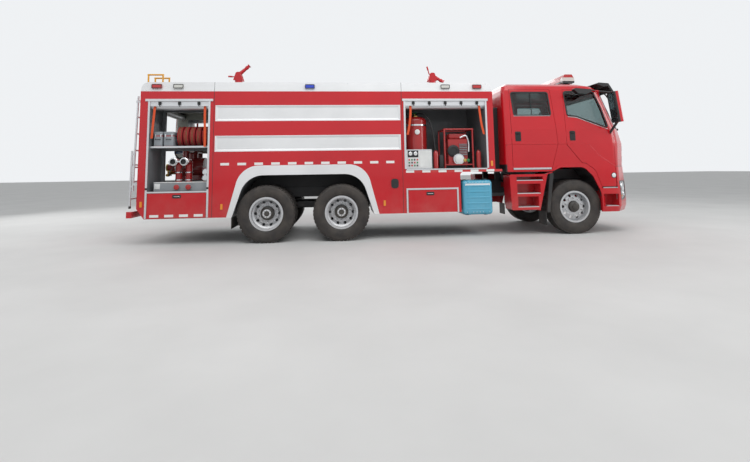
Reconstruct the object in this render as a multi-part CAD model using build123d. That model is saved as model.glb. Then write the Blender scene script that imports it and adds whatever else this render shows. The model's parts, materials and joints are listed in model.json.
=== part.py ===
from build123d import *
import math
import os

os.makedirs("parts", exist_ok=True)

# Fire truck: crew cab on a three-axle chassis with a locker body.
# Millimetres. +X forward, +Y to the vehicle's left, +Z up. The ground is Z = 0,
# X = 0 is half way along the truck. "From the axle" means from the front axle.

# Driving dimensions of the chassis
FRONT_OVERHANG = 1340.0
WHEELBASE = 4550.0
TANDEM_PITCH = 1370.0
REAR_OVERHANG = 2430.0
LENGTH = FRONT_OVERHANG + WHEELBASE + TANDEM_PITCH + REAR_OVERHANG
HALF_WIDTH = 1250.0
TYRE_RADIUS = 522.0
TYRE_WIDTH = 298.0
RIM_RADIUS = 286.0
TWIN_PITCH = 334.0
REAR_TYRE_FACE_Y = 1245.0
FRONT_TYRE_FACE_Y = 1180.0
RAIL_TOP_Z = 1050.0
RAIL_HEIGHT = 270.0
RAIL_FLANGE = 80.0
RAIL_THICKNESS = 12.0
RAIL_OUTER_Y = 425.0

# Clearances
GAP = 6.0
SEAT = 0.3

# Driving dimensions of the locker body
CAB_TO_BODY = 215.0
FRONT_LOCKER_LENGTH = 1793.0
REAR_LOCKER_LENGTH = 1307.0
STEP_DEPTH = 163.0
BODY_BOTTOM_Z = 480.0
BODY_TOP_Z = 2785.0
COAMING_HEIGHT = 175.0
TRIM_PROUD = 10.0
WALL = 40.0
HEADER_Z = 2641.0
HEADER_HEIGHT = 42.0
STILE_WIDTH = 34.0

# Driving dimensions of the cab
CAB_REAR_FROM_AXLE = 1385.0
CAB_WALL = 60.0
CAB_SILL_Z = 1215.0
CAB_FLOOR_Z = 1290.0
CAB_FLOOR_THICKNESS = 40.0
BELT_Z = 2040.0
CREASE_Z = 1750.0
ROOF_Z = 2972.0
GLASS_THICKNESS = 6.0
GLASS_INSET = 8.0

# Places worked out from them
REAR_X = -LENGTH / 2
FRONT_X = LENGTH / 2
FRONT_AXLE_X = FRONT_X - FRONT_OVERHANG
REAR_AXLES_X = (FRONT_AXLE_X - WHEELBASE, FRONT_AXLE_X - WHEELBASE - TANDEM_PITCH)
TANDEM_X = (REAR_AXLES_X[0] + REAR_AXLES_X[1]) / 2
CAB_REAR_X = FRONT_AXLE_X - CAB_REAR_FROM_AXLE
BODY_FRONT_X = CAB_REAR_X - CAB_TO_BODY
BODY_REAR_X = REAR_X + STEP_DEPTH
FRONT_SEAM_X = BODY_FRONT_X - FRONT_LOCKER_LENGTH
REAR_SEAM_X = BODY_REAR_X + REAR_LOCKER_LENGTH
SIDE_Y = HALF_WIDTH - TRIM_PROUD
RAIL_BOTTOM_Z = RAIL_TOP_Z - RAIL_HEIGHT
SIDES = (("right", -1), ("left", 1))
made = {}


def save(name, *shapes):
    """Write one node; its solids stay separate."""
    solids = [solid for shape in shapes for solid in shape.solids()]
    made[name] = solids
    export_step(solids[0] if len(solids) == 1 else Compound(children=solids), f"parts/{name}.step")


def block(x0, x1, y0, y1, z0, z1):
    """Box between two corners."""
    centre = Pos((x0 + x1) / 2, (y0 + y1) / 2, (z0 + z1) / 2)
    return centre * Box(abs(x1 - x0), abs(y1 - y0), abs(z1 - z0))


def rounded_face(corners, place):
    """Closed face from (u, v, radius) corners; place(u, v) puts them in space."""
    cuts = []
    for i, (u, v, radius) in enumerate(corners):
        here = Vector(u, v)
        back = (Vector(*corners[i - 1][:2]) - here).normalized()
        ahead = (Vector(*corners[(i + 1) % len(corners)][:2]) - here).normalized()
        if radius <= 0:
            cuts.append((here, here, here))
            continue
        half = math.radians(back.get_angle(ahead)) / 2
        centre = here + (back + ahead).normalized() * (radius / math.sin(half))
        middle = centre + (here - centre).normalized() * radius
        reach = radius / math.tan(half)
        cuts.append((here + back * reach, middle, here + ahead * reach))
    edges = []
    for i, (start, middle, end) in enumerate(cuts):
        if (end - start).length > 0.01:
            edges.append(ThreePointArc(*[place(p.X, p.Y) for p in (start, middle, end)]))
        following = cuts[(i + 1) % len(cuts)][0]
        if (following - end).length > 0.01:
            edges.append(Line(place(end.X, end.Y), place(following.X, following.Y)))
    return make_face(edges)


def round_all(points, radius):
    """Give every corner of an outline the same radius."""
    return [(u, v, radius) for u, v in points]


def side_prism(corners, y0, y1):
    """Side-view outline (x, z, radius), between two Y."""
    face = rounded_face(corners, lambda u, v: (u, y0, v))
    return extrude(face, amount=y1 - y0, dir=(0, 1, 0))


def front_prism(corners, x0, x1):
    """Front-view outline (y, z, radius), between two X."""
    face = rounded_face(corners, lambda u, v: (x0, u, v))
    return extrude(face, amount=x1 - x0, dir=(1, 0, 0))


def plan_prism(corners, z0, z1):
    """Plan outline (x, y, radius), between two Z."""
    face = rounded_face(corners, lambda u, v: (u, v, z0))
    return extrude(face, amount=z1 - z0, dir=(0, 0, 1))


def flip(shape):
    """The same piece on the other side of the truck."""
    return mirror(shape, about=Plane.XZ)


def on_side(shape, sign):
    """A piece made for the right side, for the side that sign names."""
    return shape if sign < 0 else flip(shape)


def both(shape):
    """A right-hand piece and its left-hand twin."""
    return [shape, flip(shape)]


def tube(start, end, radius):
    """Round bar between two points."""
    run = Vector(*end) - Vector(*start)
    return Plane(origin=start, z_dir=run) * Cylinder(
        radius, run.length, align=(Align.CENTER, Align.CENTER, Align.MIN))


def turned(profile, x, y, z, sign=-1):
    """Revolve (radius, out) points about an axle line; out points away from the truck."""
    points = [(radius, out * sign) for radius, out in profile]
    face = make_face(Polyline(*[(x + r, y + o, z) for r, o in points], close=True))
    return revolve(face, axis=Axis((x, y, z), (0, 1, 0)))


def fuse(*shapes):
    """Join touching pieces into one solid."""
    result = shapes[0]
    for shape in shapes[1:]:
        result = result + shape
    return result


def ax(distance):
    """X of a place given from the front axle."""
    return FRONT_AXLE_X + distance


# Wheels
TREAD_HALF = 122.0
SHOULDER_DROP = 16.0
WALL_BULGE_RADIUS = 415.0
BEAD_HALF = 112.0
FLANGE_RADIUS = 306.0
FLANGE_WIDTH = 12.0
BARREL_THICKNESS = 14.0
DISC_THICKNESS = 16.0
HUB_BORE_RADIUS = 60.0
HAND_HOLES = 10
HAND_HOLE_RADIUS = 27.0
HAND_HOLE_CIRCLE = 214.0
STUD_CIRCLE = 167.5


def tyre(x, y):
    """One tyre, its widest line at y."""
    half = TYRE_WIDTH / 2
    side = [(TYRE_RADIUS, TREAD_HALF - 22), (TYRE_RADIUS - SHOULDER_DROP, TREAD_HALF + 10),
            (WALL_BULGE_RADIUS, half), (FLANGE_RADIUS + 30, BEAD_HALF + 24),
            (FLANGE_RADIUS + 4, BEAD_HALF), (RIM_RADIUS + SEAT, BEAD_HALF)]
    profile = side + [(r, -o) for r, o in reversed(side)]
    return turned(profile, x, y, TYRE_RADIUS)


def barrel(x, y, sign, disc):
    """Rim barrel with flanges and its dished disc; disc is (radius, out) of the disc's face."""
    inner = RIM_RADIUS - BARREL_THICKNESS
    lip = BEAD_HALF + SEAT
    outline = [(RIM_RADIUS, lip), (FLANGE_RADIUS, lip), (FLANGE_RADIUS, lip + FLANGE_WIDTH),
               (inner, lip + FLANGE_WIDTH)]
    outline += [(r, o) for r, o in disc]
    outline += [(r, o - DISC_THICKNESS) for r, o in reversed(disc)]
    outline += [(inner, -lip - FLANGE_WIDTH), (FLANGE_RADIUS, -lip - FLANGE_WIDTH),
                (FLANGE_RADIUS, -lip), (RIM_RADIUS, -lip)]
    rim = turned(outline, x, y, TYRE_RADIUS, sign)
    holes = [Pos(x, y, TYRE_RADIUS) * Rot(90, 0, 0) * Pos(
        HAND_HOLE_CIRCLE * math.cos(2 * math.pi * k / HAND_HOLES),
        HAND_HOLE_CIRCLE * math.sin(2 * math.pi * k / HAND_HOLES), 0)
        * Cylinder(HAND_HOLE_RADIUS, 2 * (BEAD_HALF + FLANGE_WIDTH)) for k in range(HAND_HOLES)]
    return rim - holes


FRONT_DISC = [(RIM_RADIUS - BARREL_THICKNESS, 20.0), (245.0, 40.0), (190.0, 62.0), (HUB_BORE_RADIUS, 62.0)]
REAR_DISC = [(RIM_RADIUS - BARREL_THICKNESS, 10.0), (240.0, -8.0), (200.0, -55.0),
             (HUB_BORE_RADIUS, -55.0)]
REAR_INNER_DISC = [(RIM_RADIUS - BARREL_THICKNESS, 84.0), (240.0, 66.0), (214.0, 62.0)]


def hub(x, y, sign, profile):
    """Turned hub; profile is (radius, out) from the wheel's middle."""
    return turned(profile, x, y, TYRE_RADIUS, sign)


FRONT_WHEEL_Y = FRONT_TYRE_FACE_Y - TYRE_WIDTH / 2
REAR_OUTER_Y = REAR_TYRE_FACE_Y - TYRE_WIDTH / 2
REAR_INNER_Y = REAR_OUTER_Y - TWIN_PITCH
SPINDLE_RADIUS = 38.0
SPINDLE_CLEARANCE = 0.05
FRONT_HUB_BACK = -56.0
REAR_HUB_BACK = -TWIN_PITCH - 60.0
FRONT_HUB = [(SPINDLE_RADIUS + SPINDLE_CLEARANCE, FRONT_HUB_BACK), (120.0, FRONT_HUB_BACK),
             (120.0, 46.0 - SEAT), (HUB_BORE_RADIUS - SEAT, 46.0 - SEAT),
             (HUB_BORE_RADIUS - SEAT, 62.0 + SEAT), (104.0, 62.0 + SEAT), (98.0, 105.0), (62.0, 122.0),
             (50.0, 140.0), (0.0, 146.0), (0.0, 100.0), (SPINDLE_RADIUS + SPINDLE_CLEARANCE, 100.0)]
REAR_HUB = [(SPINDLE_RADIUS + SPINDLE_CLEARANCE, REAR_HUB_BACK), (130.0, REAR_HUB_BACK),
            (130.0, -71.0 - SEAT), (HUB_BORE_RADIUS - SEAT, -71.0 - SEAT),
            (HUB_BORE_RADIUS - SEAT, -55.0 + SEAT), (128.0, -55.0 + SEAT), (120.0, 20.0), (96.0, 38.0),
            (88.0, 52.0), (0.0, 56.0), (0.0, 0.0), (SPINDLE_RADIUS + SPINDLE_CLEARANCE, 0.0)]
REAR_HUB_FLANGE_RADIUS = 214.0


def rear_spacer(x, y, sign):
    """Flange on the hub that the inner wheel's disc bolts to."""
    face = 62.0 - TWIN_PITCH
    return turned([(129.0, face - DISC_THICKNESS), (REAR_HUB_FLANGE_RADIUS + 2, face - DISC_THICKNESS),
                   (REAR_HUB_FLANGE_RADIUS + 2, face), (129.0, face)], x, y, TYRE_RADIUS, sign)


for side, sign in SIDES:
    y = sign * FRONT_WHEEL_Y
    save(f"tyre_front_{side}", tyre(ax(0), y))
    save(f"rim_front_{side}", fuse(barrel(ax(0), y, sign, FRONT_DISC)),
         hub(ax(0), y, sign, FRONT_HUB))
    for number, x in enumerate(REAR_AXLES_X, start=1):
        outer, inner = sign * REAR_OUTER_Y, sign * REAR_INNER_Y
        save(f"tyres_rear_{number}_{side}", tyre(x, outer), tyre(x, inner))
        twin_hub = fuse(hub(x, outer, sign, REAR_HUB), rear_spacer(x, outer, sign),
                        barrel(x, inner, sign, REAR_INNER_DISC))
        save(f"rims_rear_{number}_{side}", barrel(x, outer, sign, REAR_DISC), twin_hub)

# Chassis frame: two channel rails on cross members
RAIL_FRONT_X = ax(1000)
RAIL_REAR_X = BODY_REAR_X + 60
CROSS_MEMBERS = (-7900.0, -6900.0, -5235.0, -4000.0, -2600.0, 930.0)
CROSS_THICKNESS = 90.0
CAB_MOUNTS = (-1250.0, 700.0)
CAB_MOUNT_HALF = 55.0


def rail():
    """Right-hand channel, open towards the middle."""
    solid = block(RAIL_REAR_X, RAIL_FRONT_X, -RAIL_OUTER_Y, -RAIL_OUTER_Y + RAIL_FLANGE,
                  RAIL_BOTTOM_Z, RAIL_TOP_Z)
    hollow = block(RAIL_REAR_X, RAIL_FRONT_X, -RAIL_OUTER_Y + RAIL_THICKNESS,
                   -RAIL_OUTER_Y + RAIL_FLANGE, RAIL_BOTTOM_Z + RAIL_THICKNESS,
                   RAIL_TOP_Z - RAIL_THICKNESS)
    return solid - hollow


frame_parts = both(rail())
for x in CROSS_MEMBERS:
    frame_parts.append(block(ax(x) - CROSS_THICKNESS / 2, ax(x) + CROSS_THICKNESS / 2,
                             -RAIL_OUTER_Y + RAIL_THICKNESS, RAIL_OUTER_Y - RAIL_THICKNESS,
                             RAIL_BOTTOM_Z + 60, RAIL_TOP_Z - 60))
for x in CAB_MOUNTS:
    mount = block(ax(x) - CAB_MOUNT_HALF, ax(x) + CAB_MOUNT_HALF, -RAIL_OUTER_Y,
                  -RAIL_OUTER_Y + RAIL_FLANGE, RAIL_TOP_Z, CAB_FLOOR_Z)
    frame_parts += both(mount)

# Engine and gearbox as one plain block between the rails
ENGINE_HALF = RAIL_OUTER_Y - RAIL_FLANGE - 25
GEARBOX_REAR_X = ax(-1950)
GEARBOX_SHAFT_Z = 780.0
ENGINE_MOUNTS = (-700.0, 600.0)
ENGINE_MOUNT_LENGTH = 100.0
engine = fuse(block(ax(-900), ax(860), -ENGINE_HALF, ENGINE_HALF, 690, CAB_FLOOR_Z - 40),
              block(GEARBOX_REAR_X, ax(-900), -220, 220, 700, 1010))
mount_half = RAIL_OUTER_Y - RAIL_THICKNESS
for x in ENGINE_MOUNTS:
    engine = fuse(engine, block(ax(x), ax(x + ENGINE_MOUNT_LENGTH), -mount_half, mount_half, 850, 950))
save("engine", engine)

# Front axle beam, its springs and the steering knuckles
KINGPIN_Y = 885.0
KINGPIN_RADIUS = 24.0
KINGPIN_CLEARANCE = 0.05
BEAM_HALF = 45.0
BEAM_EYE_HALF = 60.0
BEAM_DROP = 95.0
SPRING_Y = 385.0
SPRING_WIDTH = 76.0
SPRING_HALF_LENGTH = 720.0
beam_low = TYRE_RADIUS - BEAM_DROP
eye_low = TYRE_RADIUS - BEAM_EYE_HALF
eye_top = TYRE_RADIUS + BEAM_EYE_HALF
beam_profile = [(-KINGPIN_Y - 10, eye_low, 0), (-KINGPIN_Y - 10, eye_top, 0), (-KINGPIN_Y + 70, eye_top, 0),
                (-SPRING_Y - 110, beam_low + 60, 60), (SPRING_Y + 110, beam_low + 60, 60),
                (KINGPIN_Y - 70, eye_top, 0), (KINGPIN_Y + 10, eye_top, 0), (KINGPIN_Y + 10, eye_low, 0),
                (KINGPIN_Y - 90, eye_low, 0), (SPRING_Y + 90, beam_low - 60, 60),
                (-SPRING_Y - 90, beam_low - 60, 60), (-KINGPIN_Y + 90, eye_low, 0)]
beam = front_prism(beam_profile, ax(-BEAM_HALF), ax(BEAM_HALF))
for sign in (-1, 1):
    beam = fuse(beam, Pos(ax(0), sign * KINGPIN_Y, TYRE_RADIUS) * Cylinder(BEAM_HALF, 2 * BEAM_EYE_HALF))
    beam = beam - Pos(ax(0), sign * KINGPIN_Y, TYRE_RADIUS) * Cylinder(
        KINGPIN_RADIUS + KINGPIN_CLEARANCE, 2 * BEAM_EYE_HALF)
SPRING_LEAVES = 4
LEAF_THICKNESS = 20.0
spring_seat_z = beam_low + 60


def leaf_pack(x, y, seat_z, half_length, leaves, hang_z):
    """Stepped leaf spring on its seat, hung from the rail by two shackles."""
    pack = None
    for leaf in range(leaves):
        half = half_length * (1 - 0.17 * (leaves - 1 - leaf))
        z0 = seat_z + leaf * LEAF_THICKNESS
        plate = block(x - half, x + half, y - SPRING_WIDTH / 2, y + SPRING_WIDTH / 2,
                      z0, z0 + LEAF_THICKNESS)
        pack = plate if pack is None else pack + plate
    top = seat_z + leaves * LEAF_THICKNESS
    for end in (-1, 1):
        hanger_x = x + end * (half_length - 45)
        pack = pack + block(hanger_x - 40, hanger_x + 40, y - SPRING_WIDTH / 2, y + SPRING_WIDTH / 2,
                            top - LEAF_THICKNESS, hang_z)
    return pack


springs = [leaf_pack(ax(0), sign * SPRING_Y, spring_seat_z, SPRING_HALF_LENGTH, SPRING_LEAVES,
                     RAIL_BOTTOM_Z) for sign in (-1, 1)]
save("front_axle", fuse(beam, *springs))

AXLE_TUBE_RADIUS = 62.0
TANDEM_SEAT_Z = TYRE_RADIUS + AXLE_TUBE_RADIUS
TANDEM_LEAVES = 5
rear_springs = [leaf_pack(TANDEM_X, sign * SPRING_Y, TANDEM_SEAT_Z, TANDEM_PITCH / 2 + 60, TANDEM_LEAVES,
                          RAIL_BOTTOM_Z) for sign in (-1, 1)]

for side, sign in SIDES:
    pin_y = sign * KINGPIN_Y
    wheel_y = sign * FRONT_WHEEL_Y
    fork_top = TYRE_RADIUS + BEAM_EYE_HALF + SEAT
    fork_low = TYRE_RADIUS - BEAM_EYE_HALF - SEAT
    pin = Pos(ax(0), pin_y, TYRE_RADIUS) * Cylinder(KINGPIN_RADIUS, 2 * (BEAM_EYE_HALF + SEAT) + 60)
    plate_y0 = pin_y + sign * (BEAM_HALF + 14)
    plate_y1 = plate_y0 + sign * 26
    fork = fuse(pin,
                block(ax(-40), ax(40), pin_y - sign * 40, plate_y1, fork_top, fork_top + 34),
                block(ax(-40), ax(40), pin_y - sign * 40, plate_y1, fork_low - 34, fork_low),
                block(ax(-70), ax(70), plate_y0, plate_y1, fork_low - 34, fork_top + 34),
                tube((ax(0), plate_y1 - sign * 5, TYRE_RADIUS), (ax(0), wheel_y + sign * 80, TYRE_RADIUS),
                     SPINDLE_RADIUS))
    save(f"knuckle_{side}", fork)

# Rear axles: tubes with their final drives, joined by the propeller shaft
axle_solids = []
for x in REAR_AXLES_X:
    housing = fuse(tube((x, -REAR_OUTER_Y + 5, TYRE_RADIUS), (x, REAR_OUTER_Y - 5, TYRE_RADIUS),
                        SPINDLE_RADIUS),
                   tube((x, -REAR_INNER_Y + 105, TYRE_RADIUS), (x, REAR_INNER_Y - 105, TYRE_RADIUS),
                        AXLE_TUBE_RADIUS),
                   Pos(x, 0, TYRE_RADIUS) * Rot(0, 90, 0) * Cylinder(190, 150),
                   tube((x, 0, TYRE_RADIUS + 60), (x + 260, 0, TYRE_RADIUS + 60), 85))
    axle_solids.append(housing)
shaft_z = TYRE_RADIUS + 60
link_shaft = tube((REAR_AXLES_X[1] + 255, 0, shaft_z), (REAR_AXLES_X[0] - 70, 0, shaft_z), 55)
drive_shaft = tube((REAR_AXLES_X[0] + 255, 0, shaft_z), (GEARBOX_REAR_X - 60, 0, GEARBOX_SHAFT_Z), 60)
shaft_end = tube((GEARBOX_REAR_X - 62, 0, GEARBOX_SHAFT_Z), (GEARBOX_REAR_X - SEAT, 0, GEARBOX_SHAFT_Z), 72)
save("rear_axles", fuse(*axle_solids, *rear_springs, link_shaft, drive_shaft, shaft_end))

# Fuel tank on the right, battery box and air tanks on the left
TANK_REAR = -2250.0
TANK_FRONT = -1664.0
TANK_LOW = 418.0
TANK_TOP = 1070.0
TANK_OUT_Y = 1225.0
TANK_IN_Y = 590.0
TANK_ROUND = 66.0
tank = block(ax(TANK_REAR), ax(TANK_FRONT), -TANK_OUT_Y, -TANK_IN_Y, TANK_LOW, TANK_TOP)
tank = fillet(tank.edges(), TANK_ROUND)
TANK_RIBS = 5
RIB_HEIGHT = 30.0
RIB_PROUD = 7.0
for k in range(TANK_RIBS):
    z = TANK_LOW + (TANK_TOP - TANK_LOW) * (k + 1) / (TANK_RIBS + 1)
    rib = block(ax(TANK_REAR + TANK_ROUND), ax(TANK_FRONT - TANK_ROUND), -TANK_OUT_Y - RIB_PROUD,
                -TANK_OUT_Y + 20, z - RIB_HEIGHT / 2, z + RIB_HEIGHT / 2)
    tank = fuse(tank, fillet(rib.edges().filter_by(Axis.X), RIB_PROUD - 1))
save("fuel_tank", tank)
BRACKET_INSET = 110.0
BRACKET_WIDTH = 60.0
BRACKET_THICKNESS = 14.0


def tank_bracket(x):
    """Angle bracket from the rail under a side tank."""
    low = TANK_LOW - BRACKET_THICKNESS
    upright = block(x - BRACKET_WIDTH / 2, x + BRACKET_WIDTH / 2, -TANK_IN_Y + SEAT,
                    -TANK_IN_Y + BRACKET_THICKNESS, low, RAIL_TOP_Z - 30)
    foot = block(x - BRACKET_WIDTH / 2, x + BRACKET_WIDTH / 2, -TANK_OUT_Y + 120,
                 -TANK_IN_Y + BRACKET_THICKNESS, low, TANK_LOW)
    arm = block(x - BRACKET_WIDTH / 2, x + BRACKET_WIDTH / 2, -TANK_IN_Y + BRACKET_THICKNESS - 1,
                -RAIL_OUTER_Y, RAIL_BOTTOM_Z + 40, RAIL_TOP_Z - 60)
    return fuse(upright, foot, arm)


brackets = [tank_bracket(ax(x)) for x in (TANK_REAR + BRACKET_INSET, TANK_FRONT - BRACKET_INSET)]
AIR_TANK_RADIUS = 118.0
AIR_TANK_Z = TANK_LOW + AIR_TANK_RADIUS
battery_low = TANK_LOW + 2 * AIR_TANK_RADIUS + 40
battery = block(ax(TANK_REAR), ax(TANK_FRONT), TANK_IN_Y + SEAT, TANK_OUT_Y - 20, battery_low,
                TANK_TOP - 40)
battery = fillet(battery.edges().filter_by(Axis.X), 20)
air_tanks = []
for y in (TANK_IN_Y + AIR_TANK_RADIUS + 20, TANK_IN_Y + 3 * AIR_TANK_RADIUS + 60):
    air_tank = tube((ax(TANK_REAR), y, AIR_TANK_Z), (ax(TANK_FRONT), y, AIR_TANK_Z), AIR_TANK_RADIUS)
    air_tanks.append(fillet(air_tank.edges(), 40))
save("battery_and_air_tanks", battery, *air_tanks)
for bracket in brackets:
    frame_parts += both(bracket)
save("chassis_frame", fuse(*frame_parts))

# Locker body in three sections
ARCH_BOTTOM_HALF = 1292.0
ARCH_TOP_HALF = 1045.0
ARCH_TOP_Z = 1227.0
ARCH_ROUND = 420.0
ARCH_TRIM_SIDE = 96.0
ARCH_TRIM_TOP = 178.0
BODY_FLOOR_Z = RAIL_TOP_Z
TUNNEL_HALF = 480.0
LOCKER_DEPTH = 580.0
CHAMFER_X = 133.0
CHAMFER_Z = 186.0


def arch_outline(grow_side, grow_top, low):
    """Wheel-arch outline round both rear axles, down to height low."""
    reach = ARCH_BOTTOM_HALF + grow_side
    top = ARCH_TOP_HALF + grow_side
    height = ARCH_TOP_Z + grow_top
    slope = (reach - top) / (height - BODY_BOTTOM_Z)
    foot = reach + slope * (BODY_BOTTOM_Z - low)
    return [(TANDEM_X - foot, low, 0), (TANDEM_X - top, height, ARCH_ROUND),
            (TANDEM_X + top, height, ARCH_ROUND), (TANDEM_X + foot, low, 0)]


arch_cut = side_prism(arch_outline(0, 0, BODY_BOTTOM_Z - 20), -HALF_WIDTH - 20, HALF_WIDTH + 20)
tunnel = block(BODY_REAR_X - 10, BODY_FRONT_X + 10, -TUNNEL_HALF, TUNNEL_HALF, BODY_BOTTOM_Z - 10,
               RAIL_TOP_Z)

# Openings: rear side locker, front side locker, pump room at the rear
REAR_OPEN = (BODY_REAR_X + 175, REAR_SEAM_X - 97)
REAR_SILL_Z = 962.0
FRONT_OPEN = (FRONT_SEAM_X + 73, BODY_FRONT_X - 160)
FRONT_SILL_Z = 1301.0
PUMP_OPEN_HALF = 600.0
PUMP_SILL_Z = 1110.0
OPEN_TOP_Z = HEADER_Z - HEADER_HEIGHT
LOWER_LOCKER_DEPTH = 380.0
FLAP_THICKNESS = 34.0
REAR_FLAP_LOW = 489.0
REAR_FLAP_TOP = 930.0
FRONT_FLAP_LOW = 474.0
FRONT_FLAP_TOP = 903.0
FRONT_FLAP_X = (FRONT_SEAM_X + 91, FRONT_SEAM_X + 1026)
FRONT_SKIRT_X = FRONT_SEAM_X + 1102

rear_section = side_prism([(BODY_REAR_X + CHAMFER_X, BODY_BOTTOM_Z, 0), (REAR_SEAM_X, BODY_BOTTOM_Z, 0),
                           (REAR_SEAM_X, BODY_TOP_Z, 0), (BODY_REAR_X, BODY_TOP_Z, 0),
                           (BODY_REAR_X, BODY_BOTTOM_Z + CHAMFER_Z, 0)], -SIDE_Y, SIDE_Y)
side_locker = block(*REAR_OPEN, -SIDE_Y - 10, -SIDE_Y + LOCKER_DEPTH, REAR_SILL_Z, OPEN_TOP_Z)
pump_room = block(BODY_REAR_X - 10, REAR_SEAM_X - WALL, -PUMP_OPEN_HALF, PUMP_OPEN_HALF, PUMP_SILL_Z,
                  OPEN_TOP_Z)
rear_lower = block(*REAR_OPEN, -SIDE_Y - 10, -SIDE_Y + LOWER_LOCKER_DEPTH, REAR_FLAP_LOW - 5,
                   REAR_FLAP_TOP + GAP)
SHELF_Z = 1777.0
SHELF_THICKNESS = 26.0
PARTITION_POST = 60.0
PARTITION_RAIL = 36.0
PARTITION_TOP_Z = 2470.0
body_rear = rear_section - both(side_locker) - pump_room - both(rear_lower) - tunnel
# The partitions beside the pump room are frames: open above and below the shelf
for low, high in ((PUMP_SILL_Z + PARTITION_RAIL, SHELF_Z - SHELF_THICKNESS - PARTITION_RAIL),
                  (SHELF_Z + PARTITION_RAIL, PARTITION_TOP_Z)):
    body_rear = body_rear - both(block(REAR_OPEN[0] + PARTITION_POST, REAR_OPEN[1] - PARTITION_POST,
                                       -SIDE_Y + LOCKER_DEPTH - 5, -PUMP_OPEN_HALF + 5, low, high))

tank_section = block(REAR_SEAM_X + SEAT, FRONT_SEAM_X - SEAT, -SIDE_Y, SIDE_Y, BODY_BOTTOM_Z, BODY_TOP_Z)
BAND_HEIGHTS = ((2227.0, 2523.0), (1665.0, 1957.0))
BAND_DEPTH = 22.0
BAND_BEVEL = 46.0
BAND_END = 26.0


def band_cut(low, high, grow):
    """Tapered pressing: wide at the skin, narrower at its floor."""
    def at(y, inset):
        return rounded_face(round_all([(REAR_SEAM_X + BAND_END + inset, low + inset),
                                       (FRONT_SEAM_X - BAND_END - inset, low + inset),
                                       (FRONT_SEAM_X - BAND_END - inset, high - inset),
                                       (REAR_SEAM_X + BAND_END + inset, high - inset)], 0),
                            lambda u, v: (u, y, v))
    return loft([at(-SIDE_Y - grow, 0), at(-SIDE_Y + BAND_DEPTH, BAND_BEVEL)], ruled=True)


body_middle = tank_section - arch_cut - tunnel
bands = []
BAND_SKIN = 6.0
for low, high in BAND_HEIGHTS:
    cut = band_cut(low, high, 0)
    body_middle = body_middle - both(cut)
    bands.append(cut - Pos(0, -BAND_SKIN, 0) * cut)
save("body_middle", body_middle)

front_profile = [(FRONT_SEAM_X, BODY_BOTTOM_Z, 0), (FRONT_SKIRT_X, BODY_BOTTOM_Z, 0),
                 (FRONT_SKIRT_X, FRONT_SILL_Z - 71, 60), (BODY_FRONT_X, FRONT_SILL_Z - 71, 0),
                 (BODY_FRONT_X, BODY_TOP_Z, 0), (FRONT_SEAM_X, BODY_TOP_Z, 0)]
front_locker = block(*FRONT_OPEN, -SIDE_Y - 10, -WALL / 2, FRONT_SILL_Z, OPEN_TOP_Z)
front_lower = block(*FRONT_FLAP_X, -SIDE_Y - 10, -SIDE_Y + LOWER_LOCKER_DEPTH, FRONT_FLAP_LOW + 6,
                    FRONT_FLAP_TOP + GAP)
body_front = side_prism(front_profile, -SIDE_Y, SIDE_Y) - both(front_locker) - both(front_lower) - tunnel

# White coamings along the roof and the rear roof wall, white arch trims
COAMING_THICKNESS = 38.0
COAMING_LEAN = 22.0
coaming_profile = [(-SIDE_Y, BODY_TOP_Z, 0), (-SIDE_Y + COAMING_LEAN, BODY_TOP_Z + COAMING_HEIGHT, 0),
                   (-SIDE_Y + COAMING_LEAN + COAMING_THICKNESS, BODY_TOP_Z + COAMING_HEIGHT, 0),
                   (-SIDE_Y + COAMING_THICKNESS, BODY_TOP_Z, 0)]
COAMING_ENDS = (BODY_REAR_X + 4, BODY_FRONT_X - 14)
COAMING_ROUND = 130.0
coaming = front_prism(coaming_profile, *COAMING_ENDS)
coaming = coaming & side_prism([(COAMING_ENDS[0], BODY_TOP_Z, 0), (COAMING_ENDS[1], BODY_TOP_Z, 0),
                                (COAMING_ENDS[1], BODY_TOP_Z + COAMING_HEIGHT, COAMING_ROUND),
                                (COAMING_ENDS[0], BODY_TOP_Z + COAMING_HEIGHT, COAMING_ROUND)],
                               -SIDE_Y - 5, -SIDE_Y + 100)
arch_trim = side_prism(arch_outline(ARCH_TRIM_SIDE, ARCH_TRIM_TOP, BODY_BOTTOM_Z), -HALF_WIDTH, -SIDE_Y)
arch_trim = arch_trim - arch_cut
save("white_panels", *both(coaming), *both(arch_trim), *[piece for band in bands for piece in both(band)])
ROOF_WALL_HEIGHT = 60.0
WALL_END_Y = SIDE_Y - COAMING_THICKNESS - COAMING_LEAN


def roof_wall(x):
    """Low wall across the roof between the coamings."""
    return block(x, x + WALL, -WALL_END_Y, WALL_END_Y, BODY_TOP_Z, BODY_TOP_Z + ROOF_WALL_HEIGHT)


save("body_rear", fuse(body_rear, roof_wall(BODY_REAR_X)))
save("body_front", fuse(body_front, roof_wall(BODY_FRONT_X - WALL)))

# Silver frames round the openings and their sills
FRAME_OUT = 8.0


def opening_frame(x0, x1, low, sill, top, header_over):
    """Stiles, header and sill of a side opening, standing proud of the skin."""
    y0, y1 = -HALF_WIDTH, -SIDE_Y
    stiles = [block(x0 - STILE_WIDTH, x0, y0, y1, low, top), block(x1, x1 + STILE_WIDTH, y0, y1, low, top)]
    header = block(x0 - header_over, x1 + header_over, y0 - FRAME_OUT, y1, top - HEADER_HEIGHT, top)
    bar = block(x0, x1, y0, y1, sill[0], sill[1])
    return fuse(*stiles, header, bar)


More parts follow.
